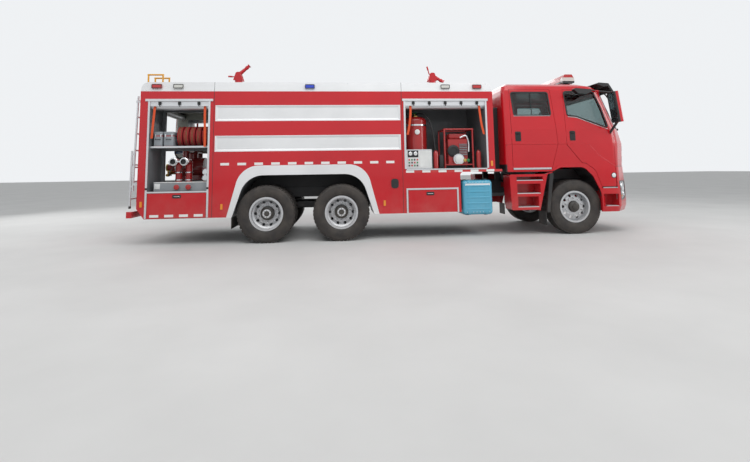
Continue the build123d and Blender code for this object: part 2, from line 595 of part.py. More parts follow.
rear_frame = opening_frame(*REAR_OPEN, REAR_FLAP_LOW, (REAR_FLAP_TOP + GAP, REAR_SILL_Z), HEADER_Z, 82)
front_frame = opening_frame(*FRONT_OPEN, FRONT_SILL_Z, (FRONT_SILL_Z - 24, FRONT_SILL_Z), HEADER_Z, 58)
FLAP_TRIM = 30.0
flap_x0, flap_x1 = FRONT_FLAP_X
flap_trim = side_prism(round_all([(flap_x0 - FLAP_TRIM, FRONT_FLAP_LOW + 6),
                                  (flap_x0 - FLAP_TRIM, FRONT_FLAP_TOP + FLAP_TRIM + GAP),
                                  (flap_x1 + FLAP_TRIM, FRONT_FLAP_TOP + FLAP_TRIM + GAP),
                                  (flap_x1 + FLAP_TRIM, FRONT_FLAP_LOW + 6)], 0), -HALF_WIDTH, -SIDE_Y)
flap_trim = flap_trim - block(flap_x0, flap_x1, -HALF_WIDTH - 5, -SIDE_Y + 5, FRONT_FLAP_LOW - 20,
                              FRONT_FLAP_TOP + GAP)
pump_frame = block(BODY_REAR_X - TRIM_PROUD, BODY_REAR_X, -PUMP_OPEN_HALF - STILE_WIDTH,
                   PUMP_OPEN_HALF + STILE_WIDTH, PUMP_SILL_Z - 30, HEADER_Z)
pump_frame = pump_frame - block(BODY_REAR_X - 30, BODY_REAR_X + 10, -PUMP_OPEN_HALF, PUMP_OPEN_HALF,
                                PUMP_SILL_Z, OPEN_TOP_Z)

# Rolled-up shutters: drum behind the header, bottom bar with latches
DRUM_RADIUS = 75.0
BAR_HEIGHT = 86.0
LATCH_WIDTH = 46.0


def side_shutter(x0, x1, latches):
    """Shutter drum, hanging slats and bottom bar of a side opening."""
    drum_y = -SIDE_Y + 30 + DRUM_RADIUS
    drum_z = OPEN_TOP_Z - DRUM_RADIUS - SEAT
    drum = tube((x0 + SEAT, drum_y, drum_z), (x1 - SEAT, drum_y, drum_z), DRUM_RADIUS)
    bar = block(x0 + SEAT, x1 - SEAT, -SIDE_Y + 6, -SIDE_Y + 32, OPEN_TOP_Z - BAR_HEIGHT, OPEN_TOP_Z - SEAT)
    pieces = [fuse(drum, bar)]
    pitch = (x1 - x0) / latches
    for k in range(latches):
        x = x0 + pitch * (k + 0.5)
        pieces[0] = pieces[0] + block(x - LATCH_WIDTH / 2, x + LATCH_WIDTH / 2, -SIDE_Y - 8, -SIDE_Y + 8,
                                      OPEN_TOP_Z - 70, OPEN_TOP_Z - 12)
    return pieces[0]


def rear_shutter():
    """The pump room's shutter, the same across the rear."""
    half = PUMP_OPEN_HALF - SEAT
    drum_x = BODY_REAR_X + 30 + DRUM_RADIUS
    top = OPEN_TOP_Z
    drum_z = top - DRUM_RADIUS - SEAT
    solid = fuse(tube((drum_x, -half, drum_z), (drum_x, half, drum_z), DRUM_RADIUS),
                 block(BODY_REAR_X + 6, BODY_REAR_X + 32, -half, half, top - BAR_HEIGHT, top - SEAT))
    for k in range(4):
        y = -half + 2 * half * (k + 0.5) / 4
        solid = solid + block(BODY_REAR_X - 8, BODY_REAR_X + 8, y - LATCH_WIDTH / 2, y + LATCH_WIDTH / 2,
                              top - 70, top - 12)
    return solid


save("shutters", *both(side_shutter(*REAR_OPEN, 3)), *both(side_shutter(*FRONT_OPEN, 5)), rear_shutter())

# Shelves in the lockers
shelf = block(REAR_OPEN[0] + SEAT, REAR_OPEN[1] - SEAT, -SIDE_Y + 60, -SIDE_Y + LOCKER_DEPTH - SEAT,
              SHELF_Z - SHELF_THICKNESS, SHELF_Z)
save("locker_frames", *both(rear_frame), *both(front_frame), *both(flap_trim), pump_frame)

# Rolled hoses stand in a row on the shelf; couplings and fittings below
HOSE_ROLL_RADIUS = 190.0
HOSE_ROLL_WIDTH = 80.0
HOSE_ROLLS = 5
ROLLS_FROM = 0.42
ROLLS_TO = 0.96
OPEN_LENGTH = REAR_OPEN[1] - REAR_OPEN[0]
roll_y = -SIDE_Y + 300
rolls = []
roll_pitch = OPEN_LENGTH * (ROLLS_TO - ROLLS_FROM) / HOSE_ROLLS
for k in range(HOSE_ROLLS):
    x = REAR_OPEN[0] + OPEN_LENGTH * ROLLS_FROM + roll_pitch * (k + 0.5)
    rolls.append(tube((x - HOSE_ROLL_WIDTH / 2, roll_y, SHELF_Z + HOSE_ROLL_RADIUS + SEAT),
                      (x + HOSE_ROLL_WIDTH / 2, roll_y, SHELF_Z + HOSE_ROLL_RADIUS + SEAT), HOSE_ROLL_RADIUS))

BOX_HEIGHT = 265.0
boxes = []
for start, end in ((0.05, 0.19), (0.22, 0.38)):
    box = block(REAR_OPEN[0] + OPEN_LENGTH * start, REAR_OPEN[0] + OPEN_LENGTH * end, -SIDE_Y + 90,
                -SIDE_Y + 420, SHELF_Z + SEAT, SHELF_Z + BOX_HEIGHT)
    boxes.append(fillet(box.edges().filter_by(Axis.Z), 16))

RISER_RADIUS = 58.0
COUPLING_RADIUS = 74.0
COUPLING_Z = REAR_SILL_Z + 534.0
SILL_BOX_TOP = REAR_SILL_Z + 150.0
LOW_COUPLING_Z = REAR_SILL_Z + 72.0
riser_y = -SIDE_Y + 400.0
coupling_y = -SIDE_Y + 110.0
RISER_SHARES = (0.39, 0.57)
LOW_COUPLING_SHARES = (0.47, 0.67)
LOW_COUPLING_RADIUS = 46.0
sill_box = block(REAR_OPEN[0] + OPEN_LENGTH * 0.07, REAR_OPEN[1] - SEAT, -SIDE_Y + 96,
                 -SIDE_Y + LOCKER_DEPTH - 60, REAR_SILL_Z + SEAT, SILL_BOX_TOP)
for share in RISER_SHARES:
    x = REAR_OPEN[0] + OPEN_LENGTH * share
    sill_box = fuse(sill_box, tube((x, riser_y, SILL_BOX_TOP - 2), (x, riser_y, COUPLING_Z), RISER_RADIUS),
                    Pos(x, riser_y, COUPLING_Z) * Sphere(RISER_RADIUS),
                    tube((x, riser_y, COUPLING_Z), (x, coupling_y + 20, COUPLING_Z), RISER_RADIUS),
                    tube((x, coupling_y + 60, COUPLING_Z), (x, coupling_y, COUPLING_Z), COUPLING_RADIUS))
for share in LOW_COUPLING_SHARES:
    x = REAR_OPEN[0] + OPEN_LENGTH * share
    sill_box = fuse(sill_box, tube((x, -SIDE_Y + 100, LOW_COUPLING_Z), (x, -SIDE_Y + 56, LOW_COUPLING_Z),
                                   LOW_COUPLING_RADIUS))
hose_gear = [shelf, sill_box] + rolls + boxes
save("hose_gear", *hose_gear, *[flip(piece) for piece in hose_gear])

# Equipment in the front lockers: control panel, powder tank, motor pump
PANEL_LENGTH = 500.0
PANEL_HEIGHT = 368.0
panel = block(FRONT_OPEN[0] + SEAT, FRONT_OPEN[0] + PANEL_LENGTH, -SIDE_Y + 40, -SIDE_Y + 160,
              FRONT_SILL_Z + SEAT, FRONT_SILL_Z + PANEL_HEIGHT)
POWDER_RADIUS = 225.0
POWDER_TOP_Z = 2330.0
POWDER_ROUND = 90.0
powder_x, powder_y = FRONT_OPEN[0] + 260, -SIDE_Y + 440
powder = tube((powder_x, powder_y, FRONT_SILL_Z + SEAT), (powder_x, powder_y, POWDER_TOP_Z), POWDER_RADIUS)
powder = fillet(powder.edges().filter_by(GeomType.CIRCLE).sort_by(Axis.Z)[-1], POWDER_ROUND)
GUARD_RADIUS = 17.0
GUARD_HEIGHT = 760.0
GUARD_TRAY_Z = FRONT_SILL_Z + 60
guard_x = (FRONT_OPEN[0] + 780, FRONT_OPEN[0] + 1340)
guard_y = (-SIDE_Y + 150, -SIDE_Y + 620)
guard_top = FRONT_SILL_Z + GUARD_HEIGHT
guard = [block(*guard_x, *guard_y, GUARD_TRAY_Z, GUARD_TRAY_Z + 24),
         block(guard_x[0] + 90, guard_x[1] - 90, guard_y[0] + 70, guard_y[1] - 60, GUARD_TRAY_Z + 24,
               guard_top - 190)]
for y in guard_y:
    for x in guard_x:
        guard.append(tube((x, y, FRONT_SILL_Z + SEAT), (x, y, guard_top), GUARD_RADIUS))
    guard.append(tube((guard_x[0] - GUARD_RADIUS, y, guard_top), (guard_x[1] + GUARD_RADIUS, y, guard_top),
                      GUARD_RADIUS))
for x in guard_x:
    guard.append(tube((x, guard_y[0] - GUARD_RADIUS, guard_top), (x, guard_y[1] + GUARD_RADIUS, guard_top),
                      GUARD_RADIUS))
motor_pump = fuse(*guard)
save("locker_equipment", *both(powder), *both(motor_pump))

# Pump room: main pump, suction and delivery pipes, instrument panel
PUMP_X = BODY_REAR_X + 560
SUCTION_RADIUS = 62.5
SUCTION_DEPTH = 90.0
OUTLET_RADIUS = 32.5
OUTLET_DEPTH = 70.0
PUMP_Z = 1390.0
SUCTION_END = -420.0
SUCTION_PIPE_RADIUS = 128.0
SUCTION_PORT = 150.0
OUTLET_PORT = 110.0
MANIFOLD_Z = 1740.0
PIPE_RADIUS = 62.0
OUTLET_Y = 430.0
OUTLET_Z = 1400.0
OUTLET_END = -330.0
# columns: start, end (both from the pump's middle and the ground), radius
PUMP_TUBES = (
    ((-250.0, 0.0, PUMP_Z), (260.0, 0.0, PUMP_Z), 210.0),
    ((SUCTION_END + SUCTION_PORT + SEAT, 0.0, PUMP_Z), (-250.0, 0.0, PUMP_Z), SUCTION_PIPE_RADIUS),
    ((0.0, 0.0, PUMP_Z), (0.0, 0.0, MANIFOLD_Z + 20), 92.0),
    ((0.0, -OUTLET_Y, MANIFOLD_Z), (0.0, OUTLET_Y, MANIFOLD_Z), PIPE_RADIUS),
    ((0.0, -OUTLET_Y, MANIFOLD_Z + PIPE_RADIUS), (0.0, -OUTLET_Y, OUTLET_Z), PIPE_RADIUS),
    ((0.0, OUTLET_Y, MANIFOLD_Z + PIPE_RADIUS), (0.0, OUTLET_Y, OUTLET_Z), PIPE_RADIUS),
    ((20.0, -OUTLET_Y, OUTLET_Z), (OUTLET_END + OUTLET_PORT + SEAT, -OUTLET_Y, OUTLET_Z), PIPE_RADIUS),
    ((20.0, OUTLET_Y, OUTLET_Z), (OUTLET_END + OUTLET_PORT + SEAT, OUTLET_Y, OUTLET_Z), PIPE_RADIUS),
)
# Ports bolted to the ends of the suction and delivery pipes
# columns: mouth (from the pump's middle and the ground), length, radius, bore radius, bore depth
PUMP_PORTS = (
    ((SUCTION_END, 0.0, PUMP_Z), SUCTION_PORT, SUCTION_PIPE_RADIUS, SUCTION_RADIUS, SUCTION_DEPTH),
    ((OUTLET_END, -OUTLET_Y, OUTLET_Z), OUTLET_PORT, PIPE_RADIUS, OUTLET_RADIUS, OUTLET_DEPTH),
    ((OUTLET_END, OUTLET_Y, OUTLET_Z), OUTLET_PORT, PIPE_RADIUS, OUTLET_RADIUS, OUTLET_DEPTH),
)


def from_pump(place):
    """A place given from the pump's middle, in the truck's X."""
    return (PUMP_X + place[0], place[1], place[2])


def port(mouth, length, radius, bore, depth):
    """Round port with a blind bore from its mouth."""
    x, y, z = mouth
    body = tube(from_pump(mouth), from_pump((x + length, y, z)), radius)
    return body - tube(from_pump((x - 1, y, z)), from_pump((x + depth, y, z)), bore)


pump = block(PUMP_X - 180, PUMP_X + 220, -160, 160, PUMP_SILL_Z, 1240)
for start, end, radius in PUMP_TUBES:
    pump = fuse(pump, tube(from_pump(start), from_pump(end), radius))
save("fire_pump", pump, *[port(*row) for row in PUMP_PORTS])

# Gauge panel on a post at the left of the pump room
GAUGE_X = BODY_REAR_X + 180.0
post_x = (GAUGE_X + 10, GAUGE_X + 40)
gauge_panel = fuse(block(GAUGE_X, GAUGE_X + 50, -60, 520, 1790, 2110),
                   block(*post_x, PUMP_OPEN_HALF - 60, PUMP_OPEN_HALF - SEAT, PUMP_SILL_Z, 2140))
for z in (1800.0, 2060.0):
    gauge_panel = fuse(gauge_panel, block(*post_x, 510, PUMP_OPEN_HALF - 20, z, z + 40))
save("control_panels", *both(panel), gauge_panel)

# Lower flaps, hinged along their bottom edge
FLAP_PIN_RADIUS = 5.0


def flap(x0, x1, low, top):
    """Locker flap, flush with the frame's face; it turns on a pin along its lower outer edge."""
    pin_y, pin_z = -HALF_WIDTH + FLAP_PIN_RADIUS, low + FLAP_PIN_RADIUS
    panel = block(x0 + GAP, x1 - GAP, -HALF_WIDTH, -HALF_WIDTH + FLAP_THICKNESS, low, top)
    return fuse(panel, tube((x0 + SEAT, pin_y, pin_z), (x1 - SEAT, pin_y, pin_z), FLAP_PIN_RADIUS))


for side, sign in SIDES:
    save(f"flap_rear_{side}", on_side(flap(*REAR_OPEN, REAR_FLAP_LOW, REAR_FLAP_TOP), sign))
    save(f"flap_front_{side}", on_side(flap(*FRONT_FLAP_X, FRONT_FLAP_LOW + 6 + GAP, FRONT_FLAP_TOP), sign))

# Rear step beam with its tread, on brackets from the rails
STEP_LOW = 505.0
STEP_TOP = 616.0
STEP_BEAM = 90.0
STEP_ARM_LOW = 520.0
STEP_ARM_TOP = 600.0
step_arm_y = (-RAIL_OUTER_Y, -RAIL_OUTER_Y + RAIL_FLANGE)
step_arm = fuse(block(REAR_X + STEP_BEAM, BODY_REAR_X + CHAMFER_X - 20, *step_arm_y, STEP_ARM_LOW,
                      STEP_ARM_TOP),
                block(RAIL_REAR_X, RAIL_REAR_X + 70, *step_arm_y, STEP_ARM_LOW, RAIL_BOTTOM_Z))
step = fuse(block(REAR_X, REAR_X + STEP_BEAM, -HALF_WIDTH, HALF_WIDTH, STEP_LOW, STEP_TOP), *both(step_arm))
TREAD_HALF_WIDTH = 455.0
tread = block(REAR_X + 4, REAR_X + STEP_DEPTH, -TREAD_HALF_WIDTH, TREAD_HALF_WIDTH, STEP_TOP, STEP_TOP + 14)
save("rear_step", step)

# Ladder at the rear, right of the middle, and the handrails above it
LADDER_Y = -1020.0
LADDER_HALF = 165.0
LADDER_TUBE = 18.0
LADDER_TOP = (BODY_REAR_X - 62.0, 2700.0)
LADDER_LOW = (BODY_REAR_X - 96.0, 980.0)
FOLD_TOP = (BODY_REAR_X - 132.0, 1700.0)
FOLD_LOW = (BODY_REAR_X - 140.0, 690.0)
RUNG_PITCH = 305.0


def ladder_section(top, low, rungs_from, half):
    """Two rails and their rungs between two (x, z) ends."""
    pieces = [tube((low[0], LADDER_Y + s * half, low[1]), (top[0], LADDER_Y + s * half, top[1]), LADDER_TUBE)
              for s in (-1, 1)]
    z = rungs_from
    while z < top[1] - 30:
        share = (z - low[1]) / (top[1] - low[1])
        x = low[0] + share * (top[0] - low[0])
        pieces.append(tube((x, LADDER_Y - half, z), (x, LADDER_Y + half, z), LADDER_TUBE * 0.75))
        z += RUNG_PITCH
    return fuse(*pieces)


upper_ladder = ladder_section(LADDER_TOP, LADDER_LOW, LADDER_LOW[1] + 120, LADDER_HALF)
for z in (1100.0, 2600.0):
    for s in (-1, 1):
        y = LADDER_Y + s * LADDER_HALF
        upper_ladder = upper_ladder + block(BODY_REAR_X - 90, BODY_REAR_X, y - 12, y + 12, z - 20, z + 20)
lower_ladder = ladder_section(FOLD_TOP, FOLD_LOW, FOLD_LOW[1] + 150, LADDER_HALF - 2)
for z in (1060.0, 1640.0):
    for s in (-1, 1):
        y = LADDER_Y + s * (LADDER_HALF - 1)
        lower_ladder = lower_ladder + block(FOLD_TOP[0] - 8, BODY_REAR_X - 80, y - 9, y + 9, z - 14, z + 14)
ladder = fuse(upper_ladder, lower_ladder)

HANDRAIL_RADIUS = 15.0
HANDRAIL_X = (BODY_REAR_X + 80, BODY_REAR_X + 340)
HANDRAIL_Z = (BODY_TOP_Z, BODY_TOP_Z + 330)


def handrail(y):
    """Hoop on the roof beside the head of the ladder."""
    (x0, x1), (z0, z1) = HANDRAIL_X, HANDRAIL_Z
    return fuse(tube((x0, y, z0), (x0, y, z1), HANDRAIL_RADIUS),
                tube((x1, y, z0), (x1, y, z1), HANDRAIL_RADIUS),
                tube((x0 - HANDRAIL_RADIUS, y, z1), (x1 + HANDRAIL_RADIUS, y, z1), HANDRAIL_RADIUS))


handrails = [handrail(LADDER_Y - 110), handrail(LADDER_Y + 190)]
save("ladder", ladder, *handrails)

# Lamps on the coamings and at the rear
LAMP_Z = BODY_TOP_Z + 92.0
LAMP_HEIGHT = 74.0
LAMP_LENGTH = 176.0
LAMP_PROUD = 26.0
COAMING_LAMPS = (-7903.0, -7519.0, -5129.0, -2535.0, -1907.0)


def coaming_lamp(x):
    """Flat lamp screwed to the leaning coaming."""
    lean = COAMING_LEAN * (LAMP_Z - LAMP_HEIGHT / 2 - BODY_TOP_Z) / COAMING_HEIGHT
    return block(ax(x) - LAMP_LENGTH / 2, ax(x) + LAMP_LENGTH / 2, -SIDE_Y - LAMP_PROUD, -SIDE_Y + lean,
                 LAMP_Z - LAMP_HEIGHT / 2, LAMP_Z + LAMP_HEIGHT / 2) - coaming


lamps = [coaming_lamp(x) for x in COAMING_LAMPS]
tail = block(BODY_REAR_X - 24, BODY_REAR_X, -SIDE_Y + 60, -SIDE_Y + 380, 770, 885)
lamps.append(tail)

# Roof monitors: base on the deck, turret that turns, barrel that tilts in the turret's cheeks
# columns: place, distance from the axle, tilt of the barrel as it is parked
MONITOR_PLACES = (("rear", -6721.0, 42.0), ("front", -2510.0, -30.0))
MONITOR_BASE_RADIUS = 110.0
MONITOR_PIPE_RADIUS = 62.0
MONITOR_JOINT_Z = 3200.0
MONITOR_HUB_Z = 3375.0
MONITOR_FLANGE_RADIUS = 86.0
HUB_HALF = 52.0
CHEEK = 30.0
CHEEK_FOOT = 104.0
CHEEK_HEAD = 46.0
HUB_RADIUS = 46.0
BARREL_REACH = 300.0
FOOT_HALF = 60.0
FOOT_LOW_Z = MONITOR_JOINT_Z + 40.0
FOOT_TOP_Z = MONITOR_JOINT_Z + 66.0
HANDLE_ROOT = (-70.0, 0.0)
HANDLE_GRIP = (-128.0, 58.0)
HANDLE_END = (-190.0, 120.0)
# The barrel's tapered bore tube and nozzle: (distance from its pivot, radius)
BARREL_PROFILE = ((0.0, 44.0), (205.0, 32.0), (205.0, 40.0), (250.0, 40.0), (262.0, 30.0),
                  (BARREL_REACH, 46.0))


def upright(x, low, top, radius):
    """Round bar standing on the truck's middle line."""
    return tube((x, 0, low), (x, 0, top), radius)


def crank(reach_from, reach_to, radius):
    """Part of the barrel's handle between two (x, z) places from the pivot."""
    return tube((reach_from[0], 0, reach_from[1]), (reach_to[0], 0, reach_to[1]), radius)


bases = []
section = make_face(Polyline((0, 0), *BARREL_PROFILE, (BARREL_REACH, 0), close=True))
barrel_solid = fuse(revolve(section, axis=Axis.X), tube((0, -HUB_HALF, 0), (0, HUB_HALF, 0), HUB_RADIUS),
                    crank((0.0, 0.0), (HANDLE_ROOT[0] - 12, 0.0), 12), crank(HANDLE_ROOT, HANDLE_END, 12),
                    crank(HANDLE_GRIP, HANDLE_END, 18))
for name, distance, tilt in MONITOR_PLACES:
    x = ax(distance)
    bases.append(fuse(upright(x, BODY_TOP_Z, BODY_TOP_Z + 22, MONITOR_BASE_RADIUS),
                      upright(x, BODY_TOP_Z + 22, MONITOR_JOINT_Z, MONITOR_PIPE_RADIUS),
                      upright(x, MONITOR_JOINT_Z - 26, MONITOR_JOINT_Z, MONITOR_FLANGE_RADIUS)))
    cheek = side_prism([(x - CHEEK_FOOT, FOOT_LOW_Z, 10), (x - CHEEK_HEAD, MONITOR_HUB_Z + CHEEK_HEAD, 40),
                        (x + CHEEK_HEAD, MONITOR_HUB_Z + CHEEK_HEAD, 40), (x + CHEEK_FOOT, FOOT_LOW_Z, 10)],
                       -HUB_HALF - SEAT - CHEEK, -HUB_HALF - SEAT)
    foot = block(x - FOOT_HALF, x + FOOT_HALF, -HUB_HALF - CHEEK, HUB_HALF + CHEEK, FOOT_LOW_Z, FOOT_TOP_Z)
    swivel = upright(x, MONITOR_JOINT_Z + SEAT, FOOT_LOW_Z + 2, MONITOR_FLANGE_RADIUS)
    save(f"monitor_turret_{name}", fuse(swivel, foot, *both(cheek)))
    save(f"monitor_barrel_{name}", Pos(x, 0, MONITOR_HUB_Z) * Rot(0, -tilt, 0) * barrel_solid)
save("monitor_bases", *bases)

# Cab form: plan sections, each with straight sides, a chamfered and rounded front
# columns: height, half width, rear x, x where the corner starts, front x, half width of the front
CAB_SECTIONS = (
    (880.0, 1236.0, -1385.0, 850.0, 1240.0, 850.0),
    (1330.0, 1239.0, -1385.0, 862.0, 1265.0, 850.0),
    (CREASE_Z, 1243.0, -1385.0, 880.0, 1290.0, 850.0),
    (BELT_Z, 1238.0, -1385.0, 850.0, 1200.0, 850.0),
    (2825.0, 1152.0, -1372.0, 592.0, 905.0, 800.0),
    (2915.0, 1112.0, -1335.0, 470.0, 800.0, 740.0),
    (ROOF_Z, 1000.0, -1240.0, 300.0, 640.0, 620.0),
)
CORNER_SIDE_ROUND = 240.0
CORNER_FRONT_ROUND = 420.0
CAB_REAR_ROUND = 70.0


def plan_section(z, half, rear, corner, front, front_half, inset):
    """One horizontal section of the cab or bumper as a face."""
    w, wf = half - inset, front_half - inset * 0.35
    xr, xc, xf = ax(rear) + inset, ax(corner) - inset * 0.35, ax(front) - inset
    rear_round = max(CAB_REAR_ROUND - inset, 8.0)
    corners = [(xr, w, rear_round), (xc, w, CORNER_SIDE_ROUND), (xf, wf, CORNER_FRONT_ROUND),
               (xf, -wf, CORNER_FRONT_ROUND), (xc, -w, CORNER_SIDE_ROUND), (xr, -w, rear_round)]
    return rounded_face(corners, lambda u, v: (u, v, z))


def form(sections, inset, low_inset, top_inset):
    """Ruled loft through plan sections, set in by a wall thickness."""
    faces = []
    last = len(sections) - 1
    for i, (z, *rest) in enumerate(sections):
        height = z + (low_inset if i == 0 else 0) - (top_inset if i == last else 0)
        faces.append(plan_section(height, *rest, inset))
    return loft(faces, ruled=True)


cab_outer = form(CAB_SECTIONS, 0, 0, 0)
cab_inner = form(CAB_SECTIONS, CAB_WALL, -10, CAB_WALL)

# Door and window outlines in side view: (distance from the axle, height, radius)
WHEEL_ARCH = [(-463.0, 1215.0, 0), (-300.0, 1288.0, 120), (180.0, 1288.0, 200), (350.0, 1120.0, 200),
              (494.0, 820.0, 300), (530.0, 600.0, 0)]
FLARE_OUT = [(-330.0, 1340.0, 60), (-150.0, 1368.0, 60), (205.0, 1368.0, 200), (405.0, 1228.0, 200),
             (530.0, 880.0, 300), (560.0, 600.0, 0)]
FRONT_DOOR = [(-143.0, 2843.0, 40), (560.0, 2843.0, 60), (712.0, 2430.0, 300), (835.0, 2035.0, 20),
              (835.0, 905.0, 30), (532.0, 905.0, 0), (413.0, 1236.0, 200), (212.0, 1376.0, 200),
              (150.0, 1376.0, 60), (-137.0, 1730.0, 60)]
REAR_DOOR = [(-1246.0, 2843.0, 40), (-393.0, 2843.0, 40), (-322.0, 1750.0, 60), (-470.0, 1252.0, 30),
             (-1246.0, 1252.0, 30)]
FRONT_WINDOW = [(-107.0, 2800.0, 60), (510.0, 2800.0, 80), (640.0, 2440.0, 300), (735.0, 2055.0, 40),
                (97.0, 2292.0, 200), (-80.0, 2310.0, 50)]
REAR_WINDOW = [(-1200.0, 2781.0, 50), (-445.0, 2781.0, 50), (-419.0, 2314.0, 50), (-1167.0, 2314.0, 50)]


def placed(outline, grow=0.0):
    """Outline from the axle, in the truck's X; grow moves every side outwards."""
    corners = [(ax(u), v, r) for u, v, r in outline]
    if not grow:
        return corners
    moved = []
    for i, (u, v, r) in enumerate(corners):
        here = Vector(u, v)
        into = (here - Vector(*corners[i - 1][:2])).normalized()
        out = (Vector(*corners[(i + 1) % len(corners)][:2]) - here).normalized()
        # both outlines run clockwise seen from the right, so outwards is left of travel
        n1, n2 = Vector(-into.Y, into.X), Vector(-out.Y, out.X)
        bisector = (n1 + n2).normalized()
        reach = grow / max(bisector.dot(n1), 0.3)
        moved.append((u + bisector.X * reach, v + bisector.Y * reach, r))
    return moved


DOOR_DEPTH_Y = 880.0
DOOR_REAR_TAPER = 0.19


def door_form(outline, grow):
    """Door or its opening; the rear edge slants forward inwards, so that the door swings clear."""
    edge = ax(outline[0][0]) - grow
    outside = HALF_WIDTH + 60
    behind = plan_prism([(edge - 200, -outside, 0), (edge - 60 * DOOR_REAR_TAPER, -outside, 0),
                         (edge + (HALF_WIDTH - DOOR_DEPTH_Y) * DOOR_REAR_TAPER, -DOOR_DEPTH_Y, 0),
                         (edge - 200, -DOOR_DEPTH_Y, 0)], 800, 2900)
    return side_prism(placed(outline, grow), -outside, -DOOR_DEPTH_Y) - behind


front_door_cut = door_form(FRONT_DOOR, GAP)
rear_door_cut = door_form(REAR_DOOR, GAP)
front_door_body = door_form(FRONT_DOOR, 0)
rear_door_body = door_form(REAR_DOOR, 0)
front_window = side_prism(placed(FRONT_WINDOW), -HALF_WIDTH - 60, -DOOR_DEPTH_Y)
rear_window = side_prism(placed(REAR_WINDOW), -HALF_WIDTH - 60, -DOOR_DEPTH_Y)

# Windscreen, in front view
SCREEN_LOW_Z = 2062.0
SCREEN_TOP_Z = 2800.0
SCREEN_LOW_HALF = 1122.0
SCREEN_TOP_HALF = 1030.0
SCREEN_OUTLINE = [(-SCREEN_LOW_HALF, SCREEN_LOW_Z, 60), (-SCREEN_TOP_HALF, SCREEN_TOP_Z, 60),
                  (SCREEN_TOP_HALF, SCREEN_TOP_Z, 60), (SCREEN_LOW_HALF, SCREEN_LOW_Z, 60)]
screen_cut = front_prism(SCREEN_OUTLINE, ax(600), ax(1400))
glass_skin = form(CAB_SECTIONS, GLASS_INSET, 0, GLASS_INSET) - form(
    CAB_SECTIONS, GLASS_INSET + GLASS_THICKNESS, -10, GLASS_INSET + GLASS_THICKNESS)

BUMPER_END = 515.0
BUMPER_SIDE_TOP = 880.0
# The cab stops at the sill behind the arch, and above the bumper in front of it
below = [block(CAB_REAR_X - 50, ax(-400), -1400, 1400, 800, CAB_SILL_Z),
         block(ax(-450), FRONT_X + 50, -1400, 1400, 800, 1056),
         *both(block(ax(830), FRONT_X + 50, -1400, -912, 1000, 1296))]
arch_fill = side_prism([(ax(-470), 700, 0)] + placed(WHEEL_ARCH) + [(ax(-300), 600, 0)],
                       -HALF_WIDTH - 60, -DOOR_DEPTH_Y + 400)
# Slots in the front panel, in front view: half width at the top and at the bottom, top and bottom height
PANEL_SLOTS = ((629.0, 480.0, 1702.0, 1571.0), (555.0, 394.0, 1431.0, 1290.0))
PANEL_SLOT_ROUND = 24.0
slot_cuts = [front_prism(round_all([(-top_half, top), (-low_half, low), (low_half, low), (top_half, top)],
                                   PANEL_SLOT_ROUND), ax(1100), FRONT_X + 50)
             for top_half, low_half, top, low in PANEL_SLOTS]
STRIP_HALF = 912.0
STRIP_TOP_Z = 1187.0
strip_cut = block(ax(830), FRONT_X + 50, -STRIP_HALF, STRIP_HALF, 1000, STRIP_TOP_Z)
shell = cab_outer - cab_inner - both(front_door_cut) - both(rear_door_cut) - screen_cut
shell = shell - below - both(arch_fill) - slot_cuts - strip_cut
floor_plan = [(CAB_REAR_X + 30, -1200, 0), (ax(520), -1200, 0), (ax(520), -880, 0), (ax(1180), -820, 0),
              (ax(1180), 820, 0), (ax(520), 880, 0), (ax(520), 1200, 0), (CAB_REAR_X + 30, 1200, 0)]
cab_floor = plan_prism(floor_plan, CAB_FLOOR_Z, CAB_FLOOR_Z + CAB_FLOOR_THICKNESS) & cab_outer
cab_floor = cab_floor - both(front_door_cut) - both(rear_door_cut)
ARCH_LIP_Y = FRONT_TYRE_FACE_Y + 10
ARCH_LIP_TOP = 1000.0
flare = side_prism(placed(WHEEL_ARCH) + placed(list(reversed(FLARE_OUT))), -HALF_WIDTH, -DOOR_DEPTH_Y + 120)
flare = flare - front_door_cut - block(ax(BUMPER_END - GAP), ax(700), -1400, 0, 500, BUMPER_SIDE_TOP + GAP)
# In front of the wheel the arch is a lip outside the steered tyre's sweep
flare = flare - block(ax(300), ax(700), -ARCH_LIP_Y, 0, 500, ARCH_LIP_TOP)
seat_base_z = CAB_FLOOR_Z + CAB_FLOOR_THICKNESS
SEAT_BASE_HEIGHT = 260.0
plinths = [block(ax(-190), ax(440), y - 200, y + 200, seat_base_z - 5, seat_base_z + SEAT_BASE_HEIGHT)
           for y in (-620.0, 620.0)]
plinths.append(block(ax(-1320), ax(-800), -1060, 1060, seat_base_z - 5, seat_base_z + SEAT_BASE_HEIGHT))
cab = fuse(shell, cab_floor, *both(flare), *plinths)
save("cab_shell", cab)
save("windscreen", glass_skin & screen_cut)

LATCH_GAP = 0.5
LATCH_LOW_Z = 1870.0
LATCH_TOP_Z = 1950.0


def latch(outline):
    """Latch block on a door's rear edge, against the pillar."""
    edge = ax(outline[0][0])
    return door_form(outline, GAP - LATCH_GAP) & block(edge - 60, edge + 25, -SIDE_Y + 3, -SIDE_Y + 14,
                                                       LATCH_LOW_Z, LATCH_TOP_Z)


